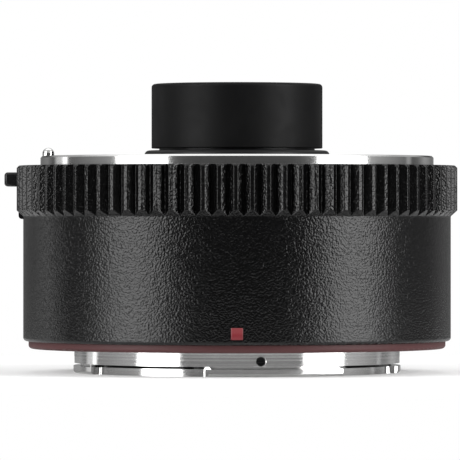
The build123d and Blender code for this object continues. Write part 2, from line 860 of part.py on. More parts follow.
def chassis():
    """Inner body that carries both mounts, both optical cells, the board and the release parts."""
    throat_low = chassis_high - chassis_throat_deep
    body = turned(
        (chassis_foot_inner, mount_thick),
        (chassis_radius, mount_thick),
        (chassis_radius, chassis_high),
        (chassis_throat_radius, chassis_high),
        (chassis_throat_radius, throat_low),
        (chassis_wall_inner, throat_low),
        (chassis_wall_inner, web_high),
        (hub_inner, web_high),
        (hub_inner, hub_low),
        (hub_outer, hub_low),
        (hub_outer, web_low),
        (chassis_wall_inner, web_low),
        (chassis_wall_inner, board_low),
        (board_ledge_inner, board_low),
        (board_ledge_inner, foot_high),
        (chassis_foot_inner, foot_high),
    )
    boss_low = pin_bore_low - pin_boss_below
    boss = post(pin_boss_radius, boss_low, chassis_high, pin_circle, pin_azimuth)
    body += boss & post(chassis_radius, boss_low, chassis_high)
    for azimuth in floor_post_azimuths:
        body += post(floor_post_radius, web_high, floor_low, floor_post_circle, azimuth)
    body -= post(pin_radius + pin_fit, pin_bore_low, chassis_high + overrun, pin_circle, pin_azimuth)
    body -= sector(
        slide_inner - slide_gap,
        chassis_radius + overrun,
        slide_low - slide_clear,
        chassis_high + overrun,
        slide_back_azimuth - release_angle - slide_recess_angle,
        slide_front_azimuth + slide_recess_angle,
    )
    slot = Box(chassis_wall, (peg_radius + peg_gap) * 2, pin_travel + (peg_radius + peg_gap) * 2)
    body -= at(pin_azimuth) * Pos(slide_inner - slide_gap, 0, peg_z - pin_travel / 2) * slot
    shank = mount_screw_shank + thread_gap
    foot_hole_high = mount_screw_length + seat_gap
    body -= [post(shank, 0, foot_hole_high, mount_screw_circle, a) for a in mount_screw_azimuths]
    top_low = flange_distance - lens_screw_length - mount_screw_sunk - seat_gap
    body -= [post(shank, top_low, flange_distance, lens_screw_circle, a) for a in mount_screw_azimuths]
    tap = set_screw_radius + thread_gap
    inner, outer = set_screw_inner - seat_gap, chassis_radius + overrun
    body -= [rod(tap, inner, outer, set_screw_z, a) for a in set_screw_azimuths]
    post_tap_low = floor_high - floor_screw_reach - seat_gap
    body -= screw_holes(floor_post_circle, floor_post_azimuths, post_tap_low, floor_high)
    cell_tap_low = cell_screw_seat - cell_screw_reach - seat_gap
    body -= screw_holes(cell_screw_circle, cell_screw_azimuths, cell_tap_low, cell_screw_seat)
    block_tap_low = lens_block_step - lens_block_screw_reach - seat_gap
    top = web_high + overrun
    body -= screw_holes(lens_block_screw_circle, lens_block_screws, block_tap_low, top)
    board_tap_low = board_high - board_screw_reach - seat_gap
    body -= screw_holes(board_screw_circle, board_screw_azimuths, board_tap_low, board_high)
    baffle_tap_high = baffle_low + baffle_screw_reach + seat_gap
    body -= screw_holes(baffle_screw_circle, baffle_screw_azimuths, 0, baffle_tap_high)
    ear_tap_high = ear_low + camera_ear_screw_reach + seat_gap
    body -= screw_holes(contact_circle, ear_screws, 0, ear_tap_high)
    slot_wide = (front_flex_half_width + front_flex_slot_gap) * 2
    slot_deep = flex_thick + front_flex_slot_gap * 2
    flex_slot = Box(slot_wide, slot_deep, web_thick * 2)
    slot_y = contact_circle + front_flex_offset + flex_thick / 2
    return body - Pos(0, slot_y, web_low + web_thick / 2) * flex_slot


def barrel_set_screws():
    """Three radial screws under the grip ring that hold the barrel on the chassis."""
    outer = barrel_sleeve_radius - seat_gap
    return [rod(set_screw_radius, set_screw_inner, outer, set_screw_z, a) for a in set_screw_azimuths]


def front_cell():
    """Barrel of the protruding front group and of the middle triplet, with its fixing flange."""
    body = turned(
        (cell_rear_bore, cell_low),
        (cell_radius, cell_low),
        (cell_radius, web_high),
        (cell_flange_radius, web_high),
        (cell_flange_radius, cell_flange_high),
        (cell_radius, cell_flange_high),
        (cell_radius, shelf_z, cell_shelf_round),
        (snout_neck_radius, shelf_z),
        (snout_neck_radius, tube_high),
        (cell_front_bore, tube_high),
        (cell_front_bore, surface_5[0]),
        (cell_stop_bore, surface_5[0]),
        (cell_stop_bore, surface_6[0]),
        (cell_rear_bore, surface_6[0]),
    )
    head = small_screw_head + thread_gap
    top = cell_flange_high + overrun
    body -= [post(head, cell_screw_seat, top, cell_screw_circle, a) for a in cell_screw_azimuths]
    return body - screw_holes(cell_screw_circle, cell_screw_azimuths, web_high - overrun, top)


def front_cell_screws():
    """Three screws that hold the front cell on the web of the chassis."""
    return placed(small_screw(cell_screw_reach), cell_screw_circle, cell_screw_azimuths, cell_screw_seat)


def snout_sleeve():
    """Matte sleeve screwed over the front cell's tube, its lip over the rim of the front element."""
    return turned(
        (snout_neck_radius + seat_gap, shelf_z + snout_neck_high),
        (snout_radius, shelf_z + snout_neck_high),
        (snout_radius, snout_high, snout_round),
        (snout_lip_inner + snout_lip / 2, snout_high),
        (snout_lip_inner, snout_high - snout_lip / 2),
        (snout_lip_inner, tube_high),
        (snout_neck_radius + seat_gap, tube_high),
    )


def element(bore, high, low, high_gap=0, low_gap=0):
    """Lens element between two spherical surfaces, each given by its rim height and sag."""
    semi = bore - glass_gap
    high_rim, high_sag = high
    low_rim, low_sag = low
    high_rim, low_rim = high_rim - high_gap, low_rim + low_gap
    outline = Curve() + [
        Line((0, low_rim + low_sag), (0, high_rim + high_sag)),
        surface(semi, high_rim, high_sag),
        Line((semi, high_rim), (semi, low_rim)),
        surface(semi, low_rim, low_sag),
    ]
    return revolve(Plane.XZ * make_face(outline), Axis.Z)


def surface_drop(semi, sag, distance):
    """How far a lens surface falls back from its middle to a point at a distance from the axis."""
    radius = (semi * semi + sag * sag) / (2 * abs(sag))
    return math.copysign(radius - math.sqrt(radius * radius - distance * distance), sag)


def surface(semi, rim, sag):
    """Arc from the axis to the rim of a lens surface."""
    middle = rim + sag - surface_drop(semi, sag, semi / 2)
    return ThreePointArc((0, rim + sag), (semi / 2, middle), (semi, rim))


def elements():
    """Eight elements in five groups, from the lens side to the camera side."""
    half = cement_gap / 2
    return {
        "lens_element_1": element(cell_front_bore, surface_1, surface_2),
        "lens_element_2": element(cell_front_bore, surface_3, surface_4, 0, half),
        "lens_element_3": element(cell_front_bore, surface_4, surface_5, half, 0),
        "lens_element_4": element(cell_rear_bore, surface_6, surface_7, 0, half),
        "lens_element_5": element(cell_rear_bore, surface_7, surface_8, half, half),
        "lens_element_6": element(cell_rear_bore, surface_8, surface_9, half, 0),
        "lens_element_7": element(rear_cell_bore, surface_10, surface_11),
        "lens_element_8": element(rear_cell_bore, surface_12, surface_13),
    }


def retainer(bore, low, high, low_sag=0, high_sag=0):
    """Retaining ring or spacer in a bore, bevelled where it faces the swell of a lens surface."""
    inner, outer = bore - ring_wall, bore - glass_gap
    low_bevel = low_sag - surface_drop(outer, low_sag, inner) + glass_gap if low_sag > 0 else 0
    high_bevel = high_sag - surface_drop(outer, high_sag, inner) - glass_gap if high_sag < 0 else 0
    return turned((inner, low + low_bevel), (outer, low), (outer, high), (inner, high + high_bevel))


def cell_rings():
    """Retaining rings and spacers of both cells."""
    front_low, spacer_low = surface_1[0] + glass_gap, surface_3[0] + glass_gap
    return {
        "front_retaining_ring": retainer(cell_front_bore, front_low, tube_high, sag_1),
        "front_spacer": retainer(cell_front_bore, spacer_low, surface_2[0], sag_3),
        "middle_retaining_ring": retainer(cell_rear_bore, cell_low, surface_9[0]),
        "rear_spacer": retainer(
            rear_cell_bore, surface_12[0], surface_11[0] - glass_gap, 0, surface_11[1]
        ),
        "rear_retaining_ring": retainer(rear_cell_bore, rear_group_low - rear_ring_thick, rear_group_low),
    }


def rear_cell():
    """Cell of the last two elements, screwed into the hub from the camera side."""
    return turned(
        (rear_cell_bore, rear_cell_low),
        (rear_cell_flange_radius, rear_cell_low),
        (rear_cell_flange_radius, hub_low),
        (rear_cell_outer, hub_low),
        (rear_cell_outer, rear_cell_high),
        (rear_cell_stop_bore, rear_cell_high),
        (rear_cell_stop_bore, surface_10[0]),
        (rear_cell_bore, surface_10[0]),
    )


def throat_floor():
    """Black plate at the bottom of the lens-side throat, cut out for the contact block."""
    plate = ring(cell_radius + floor_gap, floor_radius, floor_low, floor_high)
    block_half = lens_block_half_angle + math.degrees(floor_gap / lens_block_inner)
    start, end = contact_azimuth - block_half, contact_azimuth + block_half
    low, high = floor_low - overrun, floor_high + overrun
    plate -= sector(lens_block_inner - floor_gap, floor_radius + overrun, low, high, start, end)
    return plate - screw_holes(floor_post_circle, floor_post_azimuths, low, high)


def throat_floor_screws():
    """Four screws that hold the throat floor on its posts."""
    return placed(small_screw(floor_screw_reach), floor_post_circle, floor_post_azimuths, floor_high)


def contact_azimuths():
    """Azimuths of the contacts, one pitch apart about the middle of the block."""
    middle = (contact_count - 1) / 2
    return [contact_azimuth + (place - middle) * contact_step_angle for place in range(contact_count)]


def lens_contact_block():
    """Insulator that guides the sprung contact pins of the lens side."""
    start, end = contact_azimuth - lens_block_half_angle, contact_azimuth + lens_block_half_angle
    block = sector(lens_block_inner, lens_block_outer, web_high, lens_block_step, start, end)
    start, end = contact_azimuth - lens_tower_half_angle, contact_azimuth + lens_tower_half_angle
    block += sector(lens_tower_inner, lens_tower_outer, web_high, lens_block_high, start, end)
    collar = contact_pin_collar + contact_pin_gap
    bore = contact_pin_radius + contact_pin_gap
    bore_low, top = web_high + contact_bore_floor, lens_block_high + overrun
    azimuths = contact_azimuths()
    block -= [post(collar, bore_low, contact_ceiling_z, contact_circle, a) for a in azimuths]
    block -= [post(bore, contact_ceiling_z - seat_gap, top, contact_circle, a) for a in azimuths]
    return block - screw_holes(lens_block_screw_circle, lens_block_screws, web_high - overrun, top)


def lens_contact_screws():
    """Two long screws that hold the lens-side contact block on the web."""
    screw = small_screw(lens_block_screw_reach)
    return placed(screw, lens_block_screw_circle, lens_block_screws, lens_block_step)


def contact_pin(azimuth):
    """Round-nosed contact pin with the collar that keeps it in its bore."""
    tip = lens_block_high + contact_pin_proud
    nose = contact_pin_radius * contact_pin_nose_share
    collar_high = contact_ceiling_z - seat_gap
    pin = turned(
        (0, collar_high - contact_pin_collar_high),
        (contact_pin_collar, collar_high - contact_pin_collar_high),
        (contact_pin_collar, collar_high),
        (contact_pin_radius, collar_high),
        (contact_pin_radius, tip, nose),
        (0, tip),
    )
    x, y = polar(contact_circle, azimuth)
    return Pos(x, y, 0) * pin


def pad(azimuth, grow):
    """Flat contact pad, or the pocket that holds it."""
    size = grow * 2
    low = -camera_block_drop - pad_proud
    upright = (Align.CENTER, Align.CENTER, Align.MIN)
    flat = Box(pad_radial + size, pad_tangent + size, pad_thick + size, align=upright)
    return at(azimuth) * Pos(contact_circle, 0, low - grow) * flat


def camera_contact_block():
    """Insulator inside the bayonet that carries the flat pads of the camera side."""
    start, end = contact_azimuth - lens_tower_half_angle, contact_azimuth + lens_tower_half_angle
    block = sector(camera_block_inner, camera_block_outer, -camera_block_drop, mount_thick, start, end)
    start, end = contact_azimuth - camera_ear_half_angle, contact_azimuth + camera_ear_half_angle
    block += sector(chassis_foot_inner, camera_block_outer, ear_low, mount_thick, start, end)
    block -= [pad(azimuth, thread_gap) for azimuth in contact_azimuths()]
    low, high = ear_low - overrun, mount_thick + overrun
    return block - screw_holes(contact_circle, ear_screws, low, high)


def camera_contact_screws():
    """Two screws that hold the camera-side contact block on the foot of the chassis."""
    screw = small_screw(camera_ear_screw_reach)
    return placed(screw, contact_circle, ear_screws, ear_low, flip=True)


def rear_baffle():
    """Light shield with a rectangular window, under the last element."""
    disc = post(baffle_radius, baffle_low, mount_thick)
    wall = baffle_wall * 2
    outer_corner = baffle_window_corner + baffle_wall
    frame = RectangleRounded(baffle_window_wide + wall, baffle_window_tall + wall, outer_corner)
    window = RectangleRounded(baffle_window_wide, baffle_window_tall, baffle_window_corner)
    tunnel = rear_cell_low - baffle_tunnel_gap - baffle_low
    disc += Pos(0, 0, baffle_low) * extrude(frame, tunnel)
    disc -= Pos(0, 0, baffle_low - overrun) * extrude(window, tunnel + overrun * 2)
    start, end = contact_azimuth - baffle_cut_half_angle, contact_azimuth + baffle_cut_half_angle
    low, high = baffle_low - overrun, mount_thick + overrun
    disc -= sector(camera_block_inner - baffle_gap, baffle_radius + overrun, low, high, start, end)
    return disc - screw_holes(baffle_screw_circle, baffle_screw_azimuths, low, high)


def rear_baffle_screws():
    """Three screws that hold the rear baffle on the foot of the chassis."""
    screw = small_screw(baffle_screw_reach)
    return placed(screw, baffle_screw_circle, baffle_screw_azimuths, baffle_low, flip=True)


def main_board():
    """Ring-shaped circuit board, notched round the boss of the lock pin."""
    board = ring(board_inner, board_outer, board_low, board_high)
    low, high = board_low - overrun, board_high + overrun
    board -= post(pin_boss_radius + board_boss_gap, low, high, pin_circle, pin_azimuth)
    return board - screw_holes(board_screw_circle, board_screw_azimuths, low, high)


def board_chips():
    """Chips on the side of the board that faces the lens."""
    upright = (Align.CENTER, Align.CENTER, Align.MIN)
    free_width = board_ledge_inner - board_inner
    chip_circle = (board_ledge_inner + board_inner) / 2
    chips = []
    for azimuth, share in zip(chip_azimuths, chip_side_shares):
        chip = Box(free_width * share, free_width * share, chip_high, align=upright)
        chips.append(at(azimuth) * Pos(chip_circle, 0, board_high) * chip)
    return chips


def board_screws():
    """Three screws that hold the board on its ledge."""
    return placed(small_screw(board_screw_reach), board_screw_circle, board_screw_azimuths, board_high)


def front_flex():
    """Flat cable from the lens-side contact block through the web to the board."""
    upright = (Align.CENTER, Align.MIN, Align.MIN)
    strip = Box(front_flex_half_width * 2, flex_thick, web_high - board_high, align=upright)
    return Pos(0, contact_circle + front_flex_offset, board_high) * strip


def rear_flex():
    """Flat cable from the board to the camera-side contact block."""
    upright = (Align.CENTER, Align.MIN, Align.MIN)
    strip = Box(rear_flex_half_width * 2, flex_thick, board_low - mount_thick, align=upright)
    return Pos(0, camera_block_inner + rear_flex_offset, mount_thick) * strip


def write(name, shape):
    """Write one node, or a group of like solids, to its own file."""
    solids = shape if isinstance(shape, list) else [shape]
    body = solids[0] if len(solids) == 1 else Compound(children=solids)
    export_step(body, os.path.join("parts", name + ".step"))


def build():
    """All nodes by name."""
    nodes = {
        "camera_mount": camera_mount(),
        "camera_mount_screws": camera_mount_screws(),
        "stop_screw": stop_screw(),
        "accent_ring": accent_ring(),
        "outer_barrel": outer_barrel(),
        "index_mark": index_mark(),
        "grip_ring": grip_ring(),
        "release_bezel": release_bezel(),
        "release_slider": release_slider(),
        "release_tab": release_tab(),
        "lock_pin": lock_pin(),
        "lock_pin_spring": lock_pin_spring(),
        "lens_mount_ring": lens_mount_ring(),
        "lens_mount_screws": lens_mount_screws(),
        "catch_spring_ring": catch_spring_ring(),
        "lens_mount_shim": lens_mount_shim(),
        "chassis": chassis(),
        "barrel_set_screws": barrel_set_screws(),
        "front_cell": front_cell(),
        "front_cell_screws": front_cell_screws(),
        "snout_sleeve": snout_sleeve(),
        "rear_cell": rear_cell(),
        "throat_floor": throat_floor(),
        "throat_floor_screws": throat_floor_screws(),
        "lens_contact_block": lens_contact_block(),
        "lens_contact_screws": lens_contact_screws(),
        "camera_contact_block": camera_contact_block(),
        "camera_contact_pads": [pad(azimuth, 0) for azimuth in contact_azimuths()],
        "camera_contact_screws": camera_contact_screws(),
        "rear_baffle": rear_baffle(),
        "rear_baffle_screws": rear_baffle_screws(),
        "main_board": main_board(),
        "board_chips": board_chips(),
        "board_screws": board_screws(),
        "front_flex": front_flex(),
        "rear_flex": rear_flex(),
    }
    nodes.update(cell_rings())
    nodes.update(elements())
    for place, azimuth in enumerate(contact_azimuths()):
        nodes[f"contact_pin_{place + 1:02d}"] = contact_pin(azimuth)
    return nodes


os.makedirs("parts", exist_ok=True)
for node_name, node_shape in build().items():
    write(node_name, node_shape)
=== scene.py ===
import json
import logging
import math
from dataclasses import dataclass
from enum import Enum
from functools import lru_cache
from typing import Iterable, Optional, Sequence, Union

import bmesh
import bpy
from mathutils import Matrix, Vector


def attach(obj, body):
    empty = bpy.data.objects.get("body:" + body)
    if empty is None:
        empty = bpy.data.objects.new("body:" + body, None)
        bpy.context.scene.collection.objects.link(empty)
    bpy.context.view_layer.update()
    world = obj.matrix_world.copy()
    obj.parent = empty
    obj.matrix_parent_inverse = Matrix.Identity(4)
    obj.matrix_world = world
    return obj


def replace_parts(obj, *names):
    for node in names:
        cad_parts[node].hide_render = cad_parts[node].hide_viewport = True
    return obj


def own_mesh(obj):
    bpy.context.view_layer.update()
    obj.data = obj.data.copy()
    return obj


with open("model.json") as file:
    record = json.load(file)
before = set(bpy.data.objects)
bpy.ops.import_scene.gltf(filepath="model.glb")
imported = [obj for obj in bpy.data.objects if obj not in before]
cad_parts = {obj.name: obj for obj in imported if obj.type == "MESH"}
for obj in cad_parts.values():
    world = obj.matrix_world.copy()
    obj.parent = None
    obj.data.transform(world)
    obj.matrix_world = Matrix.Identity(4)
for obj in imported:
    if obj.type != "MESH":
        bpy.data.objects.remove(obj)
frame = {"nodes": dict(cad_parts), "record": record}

MM = 0.001
WELD = 0.0005 * MM
FLAT = math.radians(0.2)
RIM_BEND = 1.0
RIM_MARGIN = 0.001 * MM
FULL_TURN = 360.0
Pair = tuple[float, float]
Colour = tuple[float, float, float]
Socket = bpy.types.NodeSocket
Value = Union[Socket, float, Colour]
log = logging.getLogger("teleconverter")


class Body(Enum):
    """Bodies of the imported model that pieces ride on."""

    HOUSING = "housing"
    RELEASE = "release"
    LOCK_PIN = "lock_pin"


class Slot(Enum):
    """Material slots of the record."""

    CHROME = "mount_chrome"
    RED_RING = "accent_red"
    BARREL = "barrel_black"
    BEZEL = "bezel_black"
    INDEX = "index_red"
    TAB = "tab_black"
    PIN = "pin_steel"
    SPRING = "spring_steel"
    BRIGHT_SCREW = "screw_steel"
    BLACK_SCREW = "screw_black"
    CHASSIS = "chassis_black"
    CELL = "cell_black"
    SLEEVE = "sleeve_black"
    SHIELD = "shield_black"
    BLOCK = "block_black"
    CONTACT = "contact_gold"
    BOARD = "board_green"
    CHIP = "chip_black"
    FILM = "flex_amber"
    GLASS = "coated_glass"


class NodeSheet:
    """Node tree that is put together socket by socket."""

    def __init__(self, tree: bpy.types.NodeTree) -> None:
        """Empties the tree.

        Args:
            tree: Node tree of a material or of the world.
        """
        self.tree = tree
        self.tree.nodes.clear()

    def add(self, kind: str, **settings: object) -> bpy.types.Node:
        """Adds a node.

        Args:
            kind: Blender's name for the node type.
            **settings: Properties of the node.

        Returns:
            The new node.
        """
        node = self.tree.nodes.new(kind)
        for key, value in settings.items():
            setattr(node, key, value)
        return node

    def join(self, source: Socket, target: Socket) -> None:
        """Links one socket to another."""
        self.tree.links.new(source, target)

    def feed(self, target: Socket, value: Value) -> None:
        """Links a socket, or sets a plain number or a tone, on an input."""
        if isinstance(value, bpy.types.NodeSocket):
            self.join(value, target)
        elif isinstance(value, tuple):
            target.default_value = (*value, 1.0)
        else:
            target.default_value = value

    def fill(self, node: bpy.types.Node, values: dict[str, Value]) -> None:
        """Feeds several inputs of a node by their labels."""
        for label, value in values.items():
            self.feed(node.inputs[label], value)

    def maths(self, operation: str, *values: Union[Socket, float]) -> Socket:
        """Adds a maths node.

        Args:
            operation: Name of the operation.
            *values: Its inputs, sockets or numbers.

        Returns:
            The result's socket.
        """
        node = self.add("ShaderNodeMath", operation=operation)
        for target, value in zip(node.inputs, values):
            self.feed(target, value)
        return node.outputs[0]

    def split(self, vector: Socket) -> list[Socket]:
        """Takes a vector apart into its three numbers."""
        parts = self.add("ShaderNodeSeparateXYZ")
        self.join(vector, parts.inputs[0])
        return list(parts.outputs)

    def spread(
        self, value: Socket, source: Pair, target: Pair = (0.0, 1.0), shape: str = "SMOOTHSTEP"
    ) -> Socket:
        """Maps one range of values onto another.

        Args:
            value: The incoming value.
            source: Its lowest and highest value.
            target: The lowest and highest result.
            shape: Blender's name for the way between them.

        Returns:
            The mapped value's socket.
        """
        node = self.add("ShaderNodeMapRange", interpolation_type=shape)
        self.join(value, node.inputs["Value"])
        self.fill(node, dict(zip(("From Min", "From Max", "To Min", "To Max"), (*source, *target))))
        return node.outputs["Result"]

    def between(self, value: Socket, limits: Pair) -> Socket:
        """Gives 1 where a value lies between two limits, and 0 elsewhere."""
        above = self.maths("GREATER_THAN", value, limits[0])
        below = self.maths("LESS_THAN", value, limits[1])
        return self.maths("MULTIPLY", above, below)

    def mix(self, factor: Socket, first: Union[Socket, Colour], second: Union[Socket, Colour]) -> Socket:
        """Blends two tones.

        Args:
            factor: Where to stand between them.
            first: Tone at 0.
            second: Tone at 1.

        Returns:
            The blended tone's socket.
        """
        node = self.add("ShaderNodeMix", data_type="RGBA")
        for index, value in ((0, factor), (6, first), (7, second)):
            self.feed(node.inputs[index], value)
        return node.outputs[2]

    def by_ray(self, mirrored: Socket, seen: Socket) -> Socket:
        """Shows one shader to the camera and another to everything that mirrors or lights.

        Args:
            mirrored: Shader for all other rays.
            seen: Shader for the camera, straight or through glass.

        Returns:
            The chosen shader's socket.
        """
        path = self.add("ShaderNodeLightPath")
        eye = self.maths("MAXIMUM", path.outputs["Is Camera Ray"], path.outputs["Is Transmission Ray"])
        choose = self.add("ShaderNodeMixShader")
        for target, value in zip(choose.inputs, (eye, mirrored, seen)):
            self.join(value, target)
        return choose.outputs[0]


class SurfaceSheet(NodeSheet):
    """Node tree of one finish, with its surface shader in place."""

    def __init__(self, name: str) -> None:
        """Starts a material.

        Args:
            name: Name of the material.
        """
        self.material = bpy.data.materials.new(name)
        self.material.use_nodes = True
        super().__init__(self.material.node_tree)
        self.shader = self.add("ShaderNodeBsdfPrincipled")
        self.surface = self.add("ShaderNodeOutputMaterial").inputs["Surface"]
        self.join(self.shader.outputs["BSDF"], self.surface)
        self.place = self.add("ShaderNodeTexCoord").outputs["Object"]

    def noise(
        self, scale: float, detail: float = 2.0, distortion: float = 0.0, place: Optional[Socket] = None
    ) -> Socket:
        """Adds a noise texture.

        Args:
            scale: Waves per metre.
            detail: Number of octaves.
            distortion: How far the noise is pulled about.
            place: Coordinates, the object's own if left out.

        Returns:
            The grey value's socket.
        """
        node = self.add("ShaderNodeTexNoise")
        self.fill(node, {"Scale": scale, "Detail": detail, "Distortion": distortion})
        self.join(place or self.place, node.inputs["Vector"])
        return node.outputs[0]

    def pits(self, scale: float) -> Socket:
        """Adds softly rounded cells, so many per metre."""
        node = self.add("ShaderNodeTexVoronoi", feature="SMOOTH_F1")
        self.fill(node, {"Scale": scale, "Vector": self.place})
        return node.outputs["Distance"]

    def radius_height(self) -> tuple[Socket, Socket]:
        """Gives the distance from the optical axis and the height along it."""
        across, along, height = self.split(self.place)
        squares = [self.maths("MULTIPLY", side, side) for side in (across, along)]
        return self.maths("SQRT", self.maths("ADD", *squares)), height

    def lathe_place(self) -> Socket:
        """Gives coordinates that only change with radius and height, for lathe marks."""
        radius, height = self.radius_height()
        joined = self.add("ShaderNodeCombineXYZ")
        self.join(radius, joined.inputs[0])
        self.join(height, joined.inputs[2])
        return joined.outputs[0]

    def bump(self, height: Socket, distance: float) -> None:
        """Puts a height onto the surface, over any bump that is there already.

        Args:
            height: The height, from 0 to 1.
            distance: What a height of 1 means, in metres.
        """
        node = self.add("ShaderNodeBump")
        self.fill(node, {"Strength": 1.0, "Distance": distance, "Height": height})
        normal = self.shader.inputs["Normal"]
        if normal.is_linked:
            self.join(normal.links[0].from_socket, node.inputs["Normal"])
        self.join(node.outputs["Normal"], normal)

    def tint(self, factor: Socket, first: Colour, second: Colour) -> None:
        """Colours the surface between two tones."""
        self.join(self.mix(factor, first, second), self.shader.inputs["Base Color"])

    def cover(self, factor: Socket, tone: Colour) -> None:
        """Lays a tone over the tinted surface where the factor is 1."""
        colour = self.shader.inputs["Base Color"]
        self.join(self.mix(factor, colour.links[0].from_socket, tone), colour)


@dataclass(frozen=True)
class Finish:
    """Plain finish with faint mottling, which the others build on.

    Attributes:
        name: Name of the material.
        colour: Its middle colour.
        roughness: Its middle roughness.
        metallic: Share of metal.
        specular: Level of the plain reflection.
        tones: Shares of the colour at the two ends of its pattern.
        sheens: Shares of the roughness at the two ends of its pattern.
        sheen_span: Part of the roughness pattern's range that is used.
        mottle_scale: Waves of the mottling per metre.
    """

    name: str
    colour: Colour
    roughness: float
    metallic: float = 0.0
    specular: float = 0.5
    tones: Pair = (0.8, 1.2)
    sheens: Pair = (0.88, 1.12)
    sheen_span: Pair = (0.3, 0.7)
    mottle_scale: float = 900.0

    def build(self) -> bpy.types.Material:
        """Makes the material.

        Returns:
            The finished material.
        """
        sheet = SurfaceSheet(self.name)
        sheet.fill(sheet.shader, {
            "Base Color": self.colour,
            "Roughness": self.roughness,
            "Metallic": self.metallic,
            "Specular IOR Level": self.specular,
        })
        sheet.material.diffuse_color = (*self.colour, 1.0)
        self.texture(sheet)
        return sheet.material

    def shade(self, share: float) -> Colour:
        """Gives the finish's colour made lighter or darker by a share."""
        return tuple(min(channel * share, 1.0) for channel in self.colour)

    def vary(self, sheet: SurfaceSheet, tone: Socket, sheen: Socket) -> None:
        """Lets the colour follow one pattern and the roughness another."""
        sheet.tint(tone, *(self.shade(share) for share in self.tones))
        low, high = (self.roughness * share for share in self.sheens)
        sheet.join(sheet.spread(sheen, self.sheen_span, (low, high)), sheet.shader.inputs["Roughness"])

    def texture(self, sheet: SurfaceSheet) -> None:
        """Adds faint mottling, for small pieces without a texture of their own."""
        mottle = sheet.noise(self.mottle_scale, detail=3)
        self.vary(sheet, mottle, mottle)


@dataclass(frozen=True)
class LeatherPaint(Finish):
    """Hard paint with fine, wandering wrinkles."""

    tones: Pair = (0.7, 1.4)
    sheens: Pair = (0.9, 1.15)
    wrinkle_scale: float = 3150.0
    wrinkle_depth: float = 0.07 * MM
    wander: float = 0.4
    flank: Pair = (0.35, 0.65)
    haze_scale: float = 2400.0

    def texture(self, sheet: SurfaceSheet) -> None:
        """Raises soft, winding wrinkles and dulls the ground between them."""
        wrinkles = sheet.noise(self.wrinkle_scale, detail=0, distortion=self.wander)
        sheet.bump(wrinkles, self.wrinkle_depth)
        self.vary(sheet, sheet.spread(wrinkles, self.flank), sheet.noise(self.haze_scale))


@dataclass(frozen=True)
class TurnedMetal(Finish):
    """Metal with fine marks from the lathe."""

    tones: Pair = (0.93, 1.05)
    sheens: Pair = (0.75, 1.3)
    mark_scale: float = 5200.0
    mark_depth: float = 0.0012 * MM
    stretch: float = 0.85
    stretch_turn: float = 0.25
    cloud_scale: float = 160.0
    mark_share: float = 0.7
    cloud_share: float = 0.3

    def texture(self, sheet: SurfaceSheet) -> None:
        """Draws rings of fine marks round the optical axis and stretches the gloss across them."""
        sheet.fill(sheet.shader, {"Anisotropic": self.stretch, "Anisotropic Rotation": self.stretch_turn})
        tangent = sheet.add("ShaderNodeTangent", direction_type="RADIAL", axis="Z")
        sheet.join(tangent.outputs[0], sheet.shader.inputs["Tangent"])
        marks = sheet.noise(self.mark_scale, detail=4, place=sheet.lathe_place())
        sheet.bump(marks, self.mark_depth)
        cloud = sheet.maths("MULTIPLY", sheet.noise(self.cloud_scale, detail=3), self.cloud_share)
        self.vary(sheet, marks, sheet.maths("ADD", sheet.maths("MULTIPLY", marks, self.mark_share), cloud))


@dataclass(frozen=True)
class GroovedMetal(TurnedMetal):
    """Turned metal with painted shade, near black, on the bottom of its capture groove where it is deep."""

    groove: Pair = (25.2 * MM, 26.1 * MM)
    levels: Pair = (-2.81 * MM, -2.34 * MM)
    # Painted shade: near-black colour that stands in for the shadow inside the deep capture groove.
    painted_groove_shade: Colour = (0.012, 0.012, 0.012)

    def texture(self, sheet: SurfaceSheet) -> None:
        """Adds the lathe marks and paints shade onto the bottom of the groove."""
        super().texture(sheet)
        radius, height = sheet.radius_height()
        rings = sheet.between(radius, self.groove)
        # Painted shade: the floor of the deep groove is coloured near black in place of the shadow in it.
        sheet.cover(sheet.maths("MULTIPLY", rings, sheet.between(height, self.levels)), self.painted_groove_shade)


@dataclass(frozen=True)
class SatinAnodised(Finish):
    """Satin coloured metal with soft lathe marks."""

    tones: Pair = (0.86, 1.12)
    sheens: Pair = (0.9, 1.1)
    mark_scale: float = 3600.0
    mark_depth: float = 0.004 * MM
    grain_scale: float = 7000.0
    grain_depth: float = 0.003 * MM

    def texture(self, sheet: SurfaceSheet) -> None:
        """Adds faint rings, a fine grain and a slight change of tone."""
        marks = sheet.noise(self.mark_scale, detail=3, place=sheet.lathe_place())
        grain = sheet.noise(self.grain_scale)
        sheet.bump(marks, self.mark_depth)
        sheet.bump(grain, self.grain_depth)
        self.vary(sheet, marks, grain)


@dataclass(frozen=True)
class MattePaint(Finish):
    """Powdery matte paint."""

    tones: Pair = (0.75, 1.3)
    sheens: Pair = (0.92, 1.08)
    powder_scale: float = 6500.0
    powder_depth: float = 0.004 * MM
    rubbed_scale: float = 220.0
    wander: float = 0.5

    def texture(self, sheet: SurfaceSheet) -> None:
        """Adds a fine powder and barely seen rubbed patches."""
        powder = sheet.noise(self.powder_scale, detail=3)
        sheet.bump(powder, self.powder_depth)
        self.vary(sheet, powder, sheet.noise(self.rubbed_scale, detail=3, distortion=self.wander))


@dataclass(frozen=True)
class MouldedPlastic(Finish):
    """Moulded plastic with the fine texture of a sparked mould."""

    tones: Pair = (0.85, 1.2)
    sheens: Pair = (0.9, 1.15)
    spark_scale: float = 4200.0
    spark_depth: float = 0.008 * MM
    flow_scale: float = 130.0
    wander: float = 1.2

    def texture(self, sheet: SurfaceSheet) -> None:
        """Adds the small pits of the mould and a soft flow of tone."""
        pits = sheet.pits(self.spark_scale)
        sheet.bump(pits, self.spark_depth)
        self.vary(sheet, sheet.noise(self.flow_scale, distortion=self.wander), pits)


